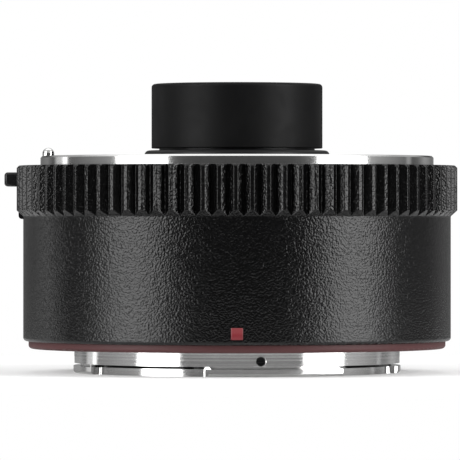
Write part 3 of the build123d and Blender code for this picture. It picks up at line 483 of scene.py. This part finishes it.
@dataclass(frozen=True)
class Enamel(Finish):
    """Glossy enamel with painted light: its upper half is tinted lighter, for the light caught by the top
    of the sunk inlay.
    """

    # Painted light: lighter tone for the top of the inlay, where light falls on it.
    painted_light_top: Colour = (0.2, 0.035, 0.04)
    middle: float = 3.2 * MM
    fade: float = 0.35 * MM
    dimple_scale: float = 1500.0
    dimple_depth: float = 0.004 * MM
    coat: float = 0.5
    coat_roughness: float = 0.12

    def texture(self, sheet: SurfaceSheet) -> None:
        """Fades from the enamel's colour at the bottom to a painted lighter tone at the top, and dimples
        the surface slightly.
        """
        height = sheet.split(sheet.place)[2]
        rise = sheet.spread(height, (self.middle - self.fade, self.middle + self.fade))
        # Painted light: the lighter tone over the upper half stands in for light caught by the top of the
        # inlay.
        sheet.tint(rise, self.colour, self.painted_light_top)
        sheet.bump(sheet.noise(self.dimple_scale), self.dimple_depth)
        sheet.fill(sheet.shader, {"Coat Weight": self.coat, "Coat Roughness": self.coat_roughness})


@dataclass(frozen=True)
class CoatedGlass(Finish):
    """Clear optical glass with a coloured anti-reflection coating."""

    tones: Pair = (0.97, 1.0)
    reflex: Colour = (0.55, 0.75, 0.62)
    refraction: float = 1.58
    dust_scale: float = 2600.0
    dust_span: Pair = (0.62, 0.8)
    dust_roughness: Pair = (0.0, 0.04)
    tint_scale: float = 60.0

    def texture(self, sheet: SurfaceSheet) -> None:
        """Makes the body clear and tints its reflections."""
        sheet.fill(sheet.shader, {
            "Transmission Weight": 1.0,
            "IOR": self.refraction,
            "Specular Tint": self.reflex,
            "Roughness": sheet.spread(
                sheet.noise(self.dust_scale, detail=4), self.dust_span, self.dust_roughness
            ),
        })
        sheet.tint(sheet.noise(self.tint_scale, detail=1), *(self.shade(share) for share in self.tones))


@dataclass(frozen=True)
class SolderMask(Finish):
    """Green circuit board with raised copper runs."""

    run_scale: float = 420.0
    run_width: float = 0.035
    run_soft: float = 0.3
    run_height: float = 0.03 * MM
    run_share: float = 1.7

    def texture(self, sheet: SurfaceSheet) -> None:
        """Raises narrow runs under the mask and gives them a lighter green."""
        runs = sheet.add("ShaderNodeTexBrick")
        sheet.fill(runs, {
            "Vector": sheet.place,
            "Scale": self.run_scale,
            "Mortar Size": self.run_width,
            "Mortar Smooth": self.run_soft,
        })
        track = runs.outputs["Fac"]
        sheet.bump(track, self.run_height)
        sheet.tint(track, self.colour, self.shade(self.run_share))


@lru_cache(maxsize=None)
def material_of(finish: Finish) -> bpy.types.Material:
    """Makes each finish's material once."""
    return finish.build()


FINISHES: dict[Slot, Finish] = {
    Slot.CHROME: GroovedMetal("chrome_plate", (0.74, 0.74, 0.735), 0.16, 1.0),
    Slot.RED_RING: SatinAnodised("red_anodised", (0.078, 0.025, 0.026), 0.52, specular=0.34),
    Slot.BARREL: LeatherPaint("barrel_leather_paint", (0.0009, 0.0009, 0.001), 0.22, specular=0.36),
    Slot.BEZEL: MouldedPlastic("bezel_plastic", (0.003, 0.003, 0.0033), 0.3, specular=0.36),
    Slot.INDEX: Enamel("index_enamel", (0.165, 0.008, 0.014), 0.3),
    Slot.TAB: MouldedPlastic("tab_plastic", (0.003, 0.003, 0.0033), 0.32, specular=0.36),
    Slot.PIN: TurnedMetal("pin_polished", (0.8, 0.8, 0.79), 0.12, 1.0, stretch=0.0, mark_depth=0.0008 * MM),
    Slot.SPRING: TurnedMetal("spring_steel", (0.5, 0.49, 0.47), 0.3, 1.0),
    Slot.BRIGHT_SCREW: Finish("screw_bright", (0.62, 0.61, 0.59), 0.26, 1.0),
    Slot.BLACK_SCREW: Finish("screw_blackened", (0.03, 0.03, 0.032), 0.32, 0.8),
    Slot.CHASSIS: MattePaint("chassis_anodised", (0.014, 0.014, 0.015), 0.5),
    Slot.CELL: SatinAnodised("cell_anodised", (0.006, 0.006, 0.0064), 0.4, specular=0.22),
    Slot.SLEEVE: MattePaint("sleeve_matte", (0.003, 0.003, 0.0032), 0.5, specular=0.13),
    Slot.SHIELD: MattePaint("shield_flocked", (0.009, 0.009, 0.009), 0.75),
    Slot.BLOCK: MouldedPlastic("block_plastic", (0.016, 0.016, 0.017), 0.42),
    Slot.CONTACT: TurnedMetal(
        "contact_gold", (0.83, 0.6, 0.27), 0.2, 1.0, stretch=0.0, mark_depth=0.0005 * MM
    ),
    Slot.BOARD: SolderMask("board_mask", (0.006, 0.075, 0.03), 0.35),
    Slot.CHIP: MouldedPlastic("chip_resin", (0.014, 0.014, 0.014), 0.5),
    Slot.FILM: Finish("flex_film", (0.42, 0.17, 0.03), 0.3),
    Slot.GLASS: CoatedGlass("coated_glass", (0.98, 0.99, 0.985), 0.0),
}


def paint(piece: bpy.types.Object, slot: Slot) -> None:
    """Gives a piece the finish of a slot and no other."""
    piece.data.materials.clear()
    piece.data.materials.append(material_of(FINISHES[slot]))


def dress(piece: bpy.types.Object, slot: Slot, body: str = Body.HOUSING.value) -> None:
    """Gives a new piece its finish and its body.

    Args:
        piece: The piece, in place.
        slot: Slot of the record that its finish stands for.
        body: Name of the body that it rides on.
    """
    paint(piece, slot)
    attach(piece, body)
    log.info("%s rides on %s in %s", piece.name, body, slot.value)


def smooth_faces(work: bmesh.types.BMesh, crease: float) -> None:
    """Smooths all faces, with sharp edges where they meet at more than the crease in degrees."""
    for edge in work.edges:
        edge.smooth = edge.calc_face_angle(0.0) < math.radians(crease)
    for face in work.faces:
        face.smooth = True


def soften(
    work: bmesh.types.BMesh, geometry: Sequence[Union[bmesh.types.BMVert, bmesh.types.BMEdge]],
    width: float, segments: int, affect: str,
) -> None:
    """Rounds edges or corners.

    Args:
        work: The mesh work.
        geometry: The edges, or the vertices of an outline without faces.
        width: Width of the rounding in millimetres.
        segments: Number of steps across it.
        affect: EDGES or VERTICES, whichever the geometry is.
    """
    bmesh.ops.bevel(work, geom=geometry, offset=width * MM, offset_type="OFFSET", segments=segments,
                    profile=0.5, affect=affect, material=-1, clamp_overlap=affect == "EDGES")


def piece_from(work: bmesh.types.BMesh, name: str, crease: float) -> bpy.types.Object:
    """Turns finished mesh work into an object with smooth faces and crisp edges.

    Args:
        work: The mesh work, freed here.
        name: Name of the new piece.
        crease: Angle in degrees above which an edge stays sharp.

    Returns:
        The new object, at the origin.
    """
    bmesh.ops.recalc_face_normals(work, faces=work.faces)
    smooth_faces(work, crease)
    mesh = bpy.data.meshes.new(name)
    work.to_mesh(mesh)
    work.free()
    packed = mesh.attributes.get("custom_normal")
    if packed:
        mesh.attributes.remove(packed)
    piece = bpy.data.objects.new(name, mesh)
    bpy.context.scene.collection.objects.link(piece)
    even = piece.modifiers.new("even_normals", "WEIGHTED_NORMAL")
    even.keep_sharp = True
    return piece


def smooth_copy(node: str, crease: float = 30.0) -> bpy.types.Object:
    """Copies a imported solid, joins its loose triangles and smooths its curved faces.

    Args:
        node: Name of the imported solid.
        crease: Angle in degrees above which an edge stays sharp.

    Returns:
        The new object, which stands for the solid.
    """
    work = bmesh.new()
    work.from_mesh(frame["nodes"][node].data)
    bmesh.ops.remove_doubles(work, verts=work.verts, dist=WELD)
    bmesh.ops.dissolve_degenerate(work, edges=work.edges, dist=WELD)
    bmesh.ops.dissolve_limit(work, angle_limit=FLAT, verts=work.verts, edges=work.edges,
                             use_dissolve_boundaries=False)
    piece = piece_from(work, node + "_finished", crease)
    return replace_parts(piece, node)


def dress_copies(pieces: Iterable[tuple[str, Slot]]) -> None:
    """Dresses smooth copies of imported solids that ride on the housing."""
    for node, slot in pieces:
        dress(smooth_copy(node), slot)


def turn(
    profile: Iterable[Sequence[float]], name: str, start: float = 0.0, sweep: float = FULL_TURN,
    spacing: float = 1.5, edge: float = 0.0, crease: float = 32.0,
) -> bpy.types.Object:
    """Turns a closed profile about the optical axis.

    Args:
        profile: Corners as radius, height and an optional rounding, in millimetres.
        name: Name of the new piece.
        start: Azimuth at which the sweep starts, in degrees from the front towards +X.
        sweep: Angle swept, in degrees.
        spacing: Angle between two sections, in degrees.
        edge: Rounding of the outermost edges in millimetres, for an open sweep.
        crease: Angle in degrees above which an edge stays sharp.

    Returns:
        The new object.
    """
    work = bmesh.new()
    outline = [(work.verts.new((0.0, -point[0] * MM, point[1] * MM)), point[2:]) for point in profile]
    for (first, _), (second, _) in zip(outline, outline[1:] + outline[:1]):
        work.edges.new((first, second))
    for vertex, rounding in outline:
        if rounding:
            soften(work, [vertex], rounding[0], segments=5, affect="VERTICES")
    full = math.isclose(sweep, FULL_TURN)
    turned = Matrix.Rotation(math.radians(start), 4, "Z")
    bmesh.ops.transform(work, matrix=turned, verts=work.verts)
    bmesh.ops.spin(work, geom=work.verts[:] + work.edges[:], cent=(0, 0, 0), axis=(0, 0, 1),
                   dvec=(0, 0, 0), angle=math.radians(sweep), steps=max(3, round(sweep / spacing)),
                   use_merge=full)
    bmesh.ops.remove_doubles(work, verts=work.verts, dist=WELD)
    if not full:
        bmesh.ops.holes_fill(work, edges=[e for e in work.edges if e.is_boundary], sides=0)
        if edge:
            round_rims(work, edge)
    return piece_from(work, name, crease)


def round_rims(work: bmesh.types.BMesh, width: float) -> None:
    """Rounds the sharp edges that reach the greatest radius.

    Args:
        work: The mesh work of an open sweep, closed at its ends.
        width: Width of the rounding in millimetres.
    """
    bmesh.ops.recalc_face_normals(work, faces=work.faces)
    work.normal_update()
    reach = max(v.co.xy.length for v in work.verts) - RIM_MARGIN
    rims = [e for e in work.edges
            if e.calc_face_angle(0.0) > RIM_BEND and any(v.co.xy.length > reach for v in e.verts)]
    soften(work, rims, width, segments=4, affect="EDGES")


def bearing(radius: float, azimuth: float) -> Pair:
    """Gives x and y of a point at an azimuth counted from the front towards +X."""
    angle = math.radians(azimuth)
    return radius * math.sin(angle), -radius * math.cos(angle)


@dataclass
class Barrel:
    """Painted barrel with its red index and the red ring at its foot."""

    radius: float = 36.0
    index_low: float = 2.195
    index_high: float = 4.205
    index_deep: float = 0.28
    index_edge: float = 0.14
    index_spacing: float = 0.4
    ring_crease: float = 50.0

    def build(self) -> None:
        """Makes and dresses the barrel, the red ring and the index."""
        dress(smooth_copy("outer_barrel"), Slot.BARREL)
        dress(smooth_copy("accent_ring", self.ring_crease), Slot.RED_RING)
        dress(self.index(), Slot.INDEX)

    def index(self) -> bpy.types.Object:
        """Makes the small square inlay.

        Returns:
            The inlay, curved with the barrel.
        """
        inner = self.radius - self.index_deep
        half = math.degrees((self.index_high - self.index_low) / 2 / self.radius)
        profile = (
            (inner, self.index_low),
            (self.radius, self.index_low),
            (self.radius, self.index_high),
            (inner, self.index_high),
        )
        inlay = turn(profile, "index_inlay", -half, half * 2, self.index_spacing, self.index_edge)
        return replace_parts(inlay, "index_mark")


@dataclass
class GripRing:
    """Ribbed grip ring, built from a turned core and single bevelled ribs."""

    root: float = 36.03
    tip: float = 37.1
    inner: float = 35.12
    lip: float = 33.3
    low: float = 22.15
    high: float = 30.8
    lip_low: float = 30.3
    flank_start: float = 36.0
    root_round: float = 0.15
    top_round: float = 0.4
    tip_width: float = 0.64
    root_gap: float = 0.08
    sunk: float = 0.12
    ribs: int = 87
    gap_ribs: int = 7
    sections: int = 3
    phase: float = -0.3
    gap_front: float = -89.25
    edge: float = 0.08
    crease: float = 40.0

    def build(self) -> None:
        """Makes and dresses the core and its ribs as one piece."""
        pitch = FULL_TURN / self.ribs
        swept = FULL_TURN - self.gap_ribs * pitch
        profile = (
            (self.inner, self.low),
            (self.flank_start, self.low),
            (self.root, self.low + self.root - self.flank_start),
            (self.root, self.high, self.root_round),
            (self.lip, self.high),
            (self.lip, self.lip_low),
            (self.inner, self.lip_low),
        )
        ring = turn(profile, "grip_ring_ribbed", self.gap_front, swept, pitch / self.sections)
        work = bmesh.new()
        work.from_mesh(ring.data)
        pattern = self.rib()
        first = math.ceil((self.gap_front - self.phase) / pitch)
        for number in range(first, first + self.ribs - self.gap_ribs):
            spun = pattern.copy()
            spun.transform(Matrix.Rotation(math.radians(self.phase + number * pitch), 4, "Z"))
            work.from_mesh(spun)
            bpy.data.meshes.remove(spun)
        bpy.data.meshes.remove(pattern)
        smooth_faces(work, self.crease)
        work.to_mesh(ring.data)
        work.free()
        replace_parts(ring, "grip_ring")
        dress(ring, Slot.BARREL)

    def width(self, radius: float) -> float:
        """Gives half the width of a rib at a radius, in millimetres."""
        base = math.pi * self.root / self.ribs - self.root_gap / 2
        share = (radius - self.root) / (self.tip - self.root)
        return base + (self.tip_width / 2 - base) * share

    def rib(self) -> bpy.types.Mesh:
        """Makes one rib at the front, with slanted flanks, cut ends and soft edges.

        Returns:
            The rib's mesh.
        """
        slant = self.tip - self.flank_start
        foot = self.root - self.sunk
        outline = (
            (foot, self.low + foot - self.flank_start + self.sunk),
            (self.tip, self.low + slant),
            (self.tip, self.high - self.top_round),
            (self.tip - self.top_round, self.high),
            (foot, self.high),
        )
        work = bmesh.new()
        left, right = (
            [work.verts.new((sign * self.width(radius) * MM, -radius * MM, height * MM))
             for radius, height in outline]
            for sign in (-1, 1)
        )
        work.faces.new(left)
        work.faces.new(right[::-1])
        for index in range(len(outline)):
            after = (index + 1) % len(outline)
            back = work.faces.new((left[after], left[index], right[index], right[after]))
        hidden = set(back.edges)
        soften(work, [e for e in work.edges if e not in hidden], self.edge, segments=3, affect="EDGES")
        bmesh.ops.recalc_face_normals(work, faces=work.faces)
        mesh = bpy.data.meshes.new("rib")
        work.to_mesh(mesh)
        work.free()
        return mesh


@dataclass
class LensMount:
    """Chrome ring, catch ring, screws and floor of the lens side, and the chassis behind them."""

    def build(self) -> None:
        """Makes and dresses the ring and what stands round it."""
        dress_copies((
            ("lens_mount_ring", Slot.CHROME),
            ("catch_spring_ring", Slot.SPRING),
            ("lens_mount_screws", Slot.BRIGHT_SCREW),
            ("chassis", Slot.CHASSIS),
            ("throat_floor", Slot.SHIELD),
            ("throat_floor_screws", Slot.BLACK_SCREW),
        ))


@dataclass
class CameraMount:
    """Chrome bayonet of the camera side with its baffle and screws.

    Attributes:
        crease: Angle in degrees above which an edge of the bayonet stays sharp.
        groove_floor: Radius of the capture groove's bottom, in millimetres.
        groove_deeper: Radius of its bottom above the gaps between the lugs.
        groove_low: Height of the groove's lower edge.
        groove_high: Height of its upper edge.
        near: How far a vertex of the groove may lie from these measures.
        deep_ranges: Azimuths between which the groove is deeper, in degrees.
    """

    crease: float = 20.0
    groove_floor: float = 26.4
    groove_deeper: float = 25.4
    groove_low: float = -2.8
    groove_high: float = -2.35
    near: float = 0.02
    deep_ranges: tuple[Pair, ...] = ((44.0, 95.0), (122.0, 166.0), (212.0, 256.0), (295.0, 347.0))

    def build(self) -> None:
        """Makes and dresses the bayonet and what stands in it."""
        dress(self.bayonet(), Slot.CHROME)
        dress_copies((
            ("camera_mount_screws", Slot.BRIGHT_SCREW),
            ("rear_baffle", Slot.SHIELD),
            ("rear_baffle_screws", Slot.BLACK_SCREW),
            ("camera_contact_screws", Slot.BLACK_SCREW),
            ("stop_screw", Slot.BLACK_SCREW),
        ))

    def bayonet(self) -> bpy.types.Object:
        """Copies the bayonet and sinks its capture groove above the gaps between the lugs.

        Returns:
            The bayonet.
        """
        mount = smooth_copy("camera_mount", self.crease)
        near = self.near * MM
        for vertex in mount.data.vertices:
            level = self.groove_low * MM - near < vertex.co.z < self.groove_high * MM + near
            azimuth = math.degrees(math.atan2(vertex.co.x, -vertex.co.y)) % FULL_TURN
            deep = any(start < azimuth < end for start, end in self.deep_ranges)
            if level and deep and abs(vertex.co.xy.length - self.groove_floor * MM) < near:
                vertex.co.xy *= self.groove_deeper / self.groove_floor
        return mount


@dataclass
class OpticalCells:
    """Front and rear cell, the matte sleeve and the eight elements."""

    neck: float = 13.12
    sleeve: float = 14.4
    sleeve_low: float = 33.7
    sleeve_high: float = 44.55
    seat: float = 43.9
    lip: float = 11.9
    lip_chamfer: float = 0.325
    lip_round: float = 0.08
    foot_round: float = 0.12
    top_round: float = 0.6
    elements: int = 8
    glass_crease: float = 50.0

    def build(self) -> None:
        """Makes and dresses the cells, the sleeve and the glass."""
        dress_copies((
            ("front_cell", Slot.CELL),
            ("rear_cell", Slot.CELL),
            ("front_cell_screws", Slot.BLACK_SCREW),
        ))
        dress(self.matte_sleeve(), Slot.SLEEVE)
        for number in range(1, self.elements + 1):
            dress(smooth_copy(f"lens_element_{number}", self.glass_crease), Slot.GLASS)

    def matte_sleeve(self) -> bpy.types.Object:
        """Turns the sleeve round the front tube.

        Returns:
            The sleeve.
        """
        profile = (
            (self.neck, self.sleeve_low),
            (self.sleeve, self.sleeve_low, self.foot_round),
            (self.sleeve, self.sleeve_high, self.top_round),
            (self.lip + self.lip_chamfer, self.sleeve_high, self.lip_round),
            (self.lip, self.sleeve_high - self.lip_chamfer, self.lip_round),
            (self.lip, self.seat),
            (self.neck, self.seat),
        )
        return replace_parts(turn(profile, "sleeve_turned"), "snout_sleeve")


@dataclass
class ReleaseGear:
    """Lock pin and its spring, slider, finger tab and the smooth panel round it."""

    tab_inner: float = 34.3
    tab_back: float = -101.4
    tab_front: float = -93.0
    tab_root_low: float = 26.6
    tab_low: float = 27.3
    tab_high: float = 29.7
    tab_root: float = 37.1
    tab_outer: float = 39.4
    tab_edge: float = 0.55
    tab_spacing: float = 2.8
    tab_crease: float = 50.0
    spring_foot: float = 14.0
    spring_keep: float = 0.8

    def build(self) -> None:
        """Makes and dresses the pieces of the release."""
        dress(smooth_copy("release_bezel"), Slot.BEZEL)
        dress(smooth_copy("release_slider"), Slot.SPRING, Body.RELEASE.value)
        dress(self.tab(), Slot.TAB, Body.RELEASE.value)
        dress(smooth_copy("lock_pin"), Slot.PIN, Body.LOCK_PIN.value)
        spring = smooth_copy("lock_pin_spring")
        dress(spring, Slot.SPRING)
        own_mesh(spring)

    def tab(self) -> bpy.types.Object:
        """Sweeps the finger tab along the barrel and rounds all its outer edges.

        Returns:
            The tab.
        """
        profile = (
            (self.tab_inner, self.tab_root_low),
            (self.tab_root, self.tab_root_low),
            (self.tab_root, self.tab_low),
            (self.tab_outer, self.tab_low),
            (self.tab_outer, self.tab_high),
            (self.tab_inner, self.tab_high),
        )
        grip = turn(profile, "release_tab_moulded", self.tab_back, self.tab_front - self.tab_back,
                    self.tab_spacing, self.tab_edge, self.tab_crease)
        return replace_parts(grip, "release_tab")


@dataclass
class Contacts:
    """Insulators with the sprung pins and the pads."""

    pins: int = 11

    def build(self) -> None:
        """Makes and dresses the blocks, pads and pins."""
        dress_copies((
            ("lens_contact_block", Slot.BLOCK),
            ("camera_contact_block", Slot.BLOCK),
            ("camera_contact_pads", Slot.CONTACT),
            ("lens_contact_screws", Slot.BLACK_SCREW),
        ))
        for number in range(1, self.pins + 1):
            name = f"contact_pin_{number:02d}"
            dress(smooth_copy(name), Slot.CONTACT, name)


@dataclass
class HiddenParts:
    """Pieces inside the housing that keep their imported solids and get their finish."""

    def build(self) -> None:
        """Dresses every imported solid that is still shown."""
        for part in frame["record"]["subparts"]:
            node = frame["nodes"][part["node"]]
            if node.hide_render:
                continue
            paint(node, Slot(part["material_slot"]))
            log.info("%s keeps its solid in %s", part["node"], part["material_slot"])


@dataclass(frozen=True)
class Lamp:
    """Soft lamp that faces the object.

    Attributes:
        name: Name of the lamp.
        azimuth: Where it stands, in degrees from the front towards +X.
        rise: Its elevation in degrees.
        wide: Width in metres.
        level: Radiance of its face.
        tall: Height in metres.
        distance: How far it hangs from the origin, in metres.
    """

    name: str
    azimuth: float
    rise: float
    wide: float
    level: float
    tall: float = 1.0
    distance: float = 1.0

    def hang(self) -> None:
        """Puts the lamp into the scene, out of the camera's sight."""
        light = bpy.data.lights.new(self.name, "AREA")
        light.shape = "RECTANGLE"
        light.size = self.wide
        light.size_y = self.tall
        light.energy = self.level * math.pi * self.wide * self.tall
        lamp = bpy.data.objects.new(self.name, light)
        rise = math.radians(self.rise)
        across, along = bearing(self.distance * math.cos(rise), self.azimuth)
        lamp.location = (across, along, self.distance * math.sin(rise))
        lamp.rotation_euler = Vector(lamp.location).to_track_quat("Z", "Y").to_euler()
        lamp.visible_camera = False
        bpy.context.scene.collection.objects.link(lamp)


@dataclass
class Studio:
    """Pale floor, soft lamps, the room that metal mirrors, and the camera.

    Attributes:
        floor_height: Height of the floor, which the bayonet's lower end stands on.
        floor_reach: Radius of the floor.
        floor_corners: Number of its corners.
        floor_tone: Its grey.
        floor_mirrored: Roughness, specular level and glow of the floor as metal mirrors it.
        floor_seen: The same for the floor as the camera sees it.
        lamps: The soft lamps.
        eye: Place of the camera.
        focal: Its focal length in millimetres.
        sensor: Width of its sensor in millimetres.
        near: Where its view starts.
        picture: Width of the photograph in pixels.
        aside: Sideways shift of the view in those pixels.
        lift: Upward shift of the view in those pixels.
        room: Azimuth and brightness of the walls that metal mirrors, between which they fade.
        storeys: Lowest and highest rise of a fade to another brightness, and that brightness.
    """

    floor_height: float = -4.0 * MM
    floor_reach: float = 0.11
    floor_corners: int = 96
    floor_tone: float = 0.82
    floor_mirrored: tuple[float, float, float] = (0.06, 0.5, 0.06)
    floor_seen: tuple[float, float, float] = (0.9, 0.0, 0.2)
    lamps: tuple[Lamp, ...] = (
        Lamp("lamp_left", azimuth=-57, rise=20, wide=0.61, level=5.1),
        Lamp("lamp_right", azimuth=63.7, rise=20, wide=0.6, level=5.7),
        Lamp("lamp_above", azimuth=180, rise=72, wide=1.2, level=0.9),
    )
    eye: tuple[float, float, float] = (0.0, -0.9, 22.15 * MM)
    focal: float = 418.0
    sensor: float = 36.0
    near: float = 0.05
    picture: int = 460
    aside: float = -7
    lift: float = -13
    room: tuple[Pair, ...] = (
        (-180, 0.3), (-164, 0.16), (-147, 0.24), (-135, 0.08), (-130.5, 0.7), (-123.5, 0.7),
        (-122.5, 2.0), (-118.5, 2.0), (-117, 0.13), (-78, 0.32), (-76, 0.25), (-41, 0.25),
        (-40, 0.07), (47, 0.07), (48, 0.25), (82, 0.25), (83, 0.45), (117, 0.17), (117.5, 0.4),
        (122, 0.4), (123, 0.1), (132, 0.15), (143, 0.36), (160, 0.18), (180, 0.25),
    )
    storeys: tuple[tuple[float, float, float], ...] = ((0.08, 0.2, 0.08), (0.24, 0.46, 0.5))

    def build(self) -> None:
        """Sets up everything round the object."""
        self.backdrop()
        self.floor()
        for lamp in self.lamps:
            lamp.hang()
        self.camera()
        bpy.context.scene.view_settings.view_transform = "Standard"

    def backdrop(self) -> None:
        """Makes the world: white for the camera, and a room of soft boxes and dark flags elsewhere."""
        world = bpy.data.worlds.new("studio_room")
        bpy.context.scene.world = world
        world.use_nodes = True
        sheet = NodeSheet(world.node_tree)
        across, along, height = sheet.split(sheet.add("ShaderNodeTexCoord").outputs["Generated"])
        angle = sheet.maths("ARCTAN2", across, sheet.maths("MULTIPLY", along, -1.0))
        ramp = sheet.add("ShaderNodeValToRGB")
        sheet.join(sheet.spread(angle, (-math.pi, math.pi), shape="LINEAR"), ramp.inputs[0])
        self.paint_walls(ramp.color_ramp.elements)
        tone = ramp.outputs["Color"]
        for low, high, level in self.storeys:
            tone = sheet.mix(sheet.spread(height, (low, high)), tone, (level, level, level))
        room = sheet.add("ShaderNodeBackground")
        white = sheet.add("ShaderNodeBackground")
        sheet.feed(room.inputs["Color"], tone)
        sheet.feed(white.inputs["Color"], (1.0, 1.0, 1.0))
        surface = sheet.add("ShaderNodeOutputWorld").inputs["Surface"]
        sheet.join(sheet.by_ray(room.outputs[0], white.outputs[0]), surface)

    def paint_walls(self, stops: bpy.types.ColorRampElements) -> None:
        """Puts the brightness of the walls onto a ramp that goes once round, from the back.

        Args:
            stops: The ramp's stops, of which the first is used again.
        """
        while len(stops) > 1:
            stops.remove(stops[-1])
        for number, (azimuth, level) in enumerate(self.room):
            position = azimuth / FULL_TURN + 0.5
            stop = stops.new(position) if number else stops[0]
            stop.position = position
            stop.color = (level, level, level, 1.0)

    def floor(self) -> None:
        """Lays the pale floor, which the camera sees as white with a soft shadow."""
        work = bmesh.new()
        bmesh.ops.create_circle(work, cap_ends=True, segments=self.floor_corners, radius=self.floor_reach)
        mesh = bpy.data.meshes.new("floor")
        work.to_mesh(mesh)
        work.free()
        floor = bpy.data.objects.new("floor", mesh)
        floor.location.z = self.floor_height
        bpy.context.scene.collection.objects.link(floor)
        sheet = SurfaceSheet("pale_floor")
        matte = sheet.add("ShaderNodeBsdfPrincipled")
        for shader, (roughness, specular, glow) in (
            (sheet.shader, self.floor_mirrored),
            (matte, self.floor_seen),
        ):
            sheet.fill(shader, {
                "Base Color": (self.floor_tone, self.floor_tone, self.floor_tone),
                "Roughness": roughness,
                "Specular IOR Level": specular,
                "Emission Color": (1.0, 1.0, 1.0),
                "Emission Strength": glow,
            })
        sheet.join(sheet.by_ray(sheet.shader.outputs[0], matte.outputs[0]), sheet.surface)
        mesh.materials.append(sheet.material)

    def camera(self) -> None:
        """Sets the camera level with the barrel, as in the photograph."""
        lens = bpy.data.cameras.new("eye")
        lens.lens = self.focal
        lens.sensor_width = self.sensor
        lens.shift_x = self.aside / self.picture
        lens.shift_y = self.lift / self.picture
        lens.clip_start = self.near
        camera = bpy.data.objects.new("eye", lens)
        camera.location = self.eye
        camera.rotation_euler = (math.radians(90), 0, 0)
        bpy.context.scene.collection.objects.link(camera)
        bpy.context.scene.camera = camera


def main() -> None:
    """Builds the object and the studio."""
    logging.basicConfig(level=logging.INFO, format="%(name)s: %(message)s")
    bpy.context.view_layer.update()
    Studio().build()
    for group in (Barrel(), GripRing(), LensMount(), CameraMount(), OpticalCells(), ReleaseGear(),
                  Contacts(), HiddenParts()):
        group.build()
        log.info("%s is built", type(group).__name__)


if __name__ == "__main__":
    main()
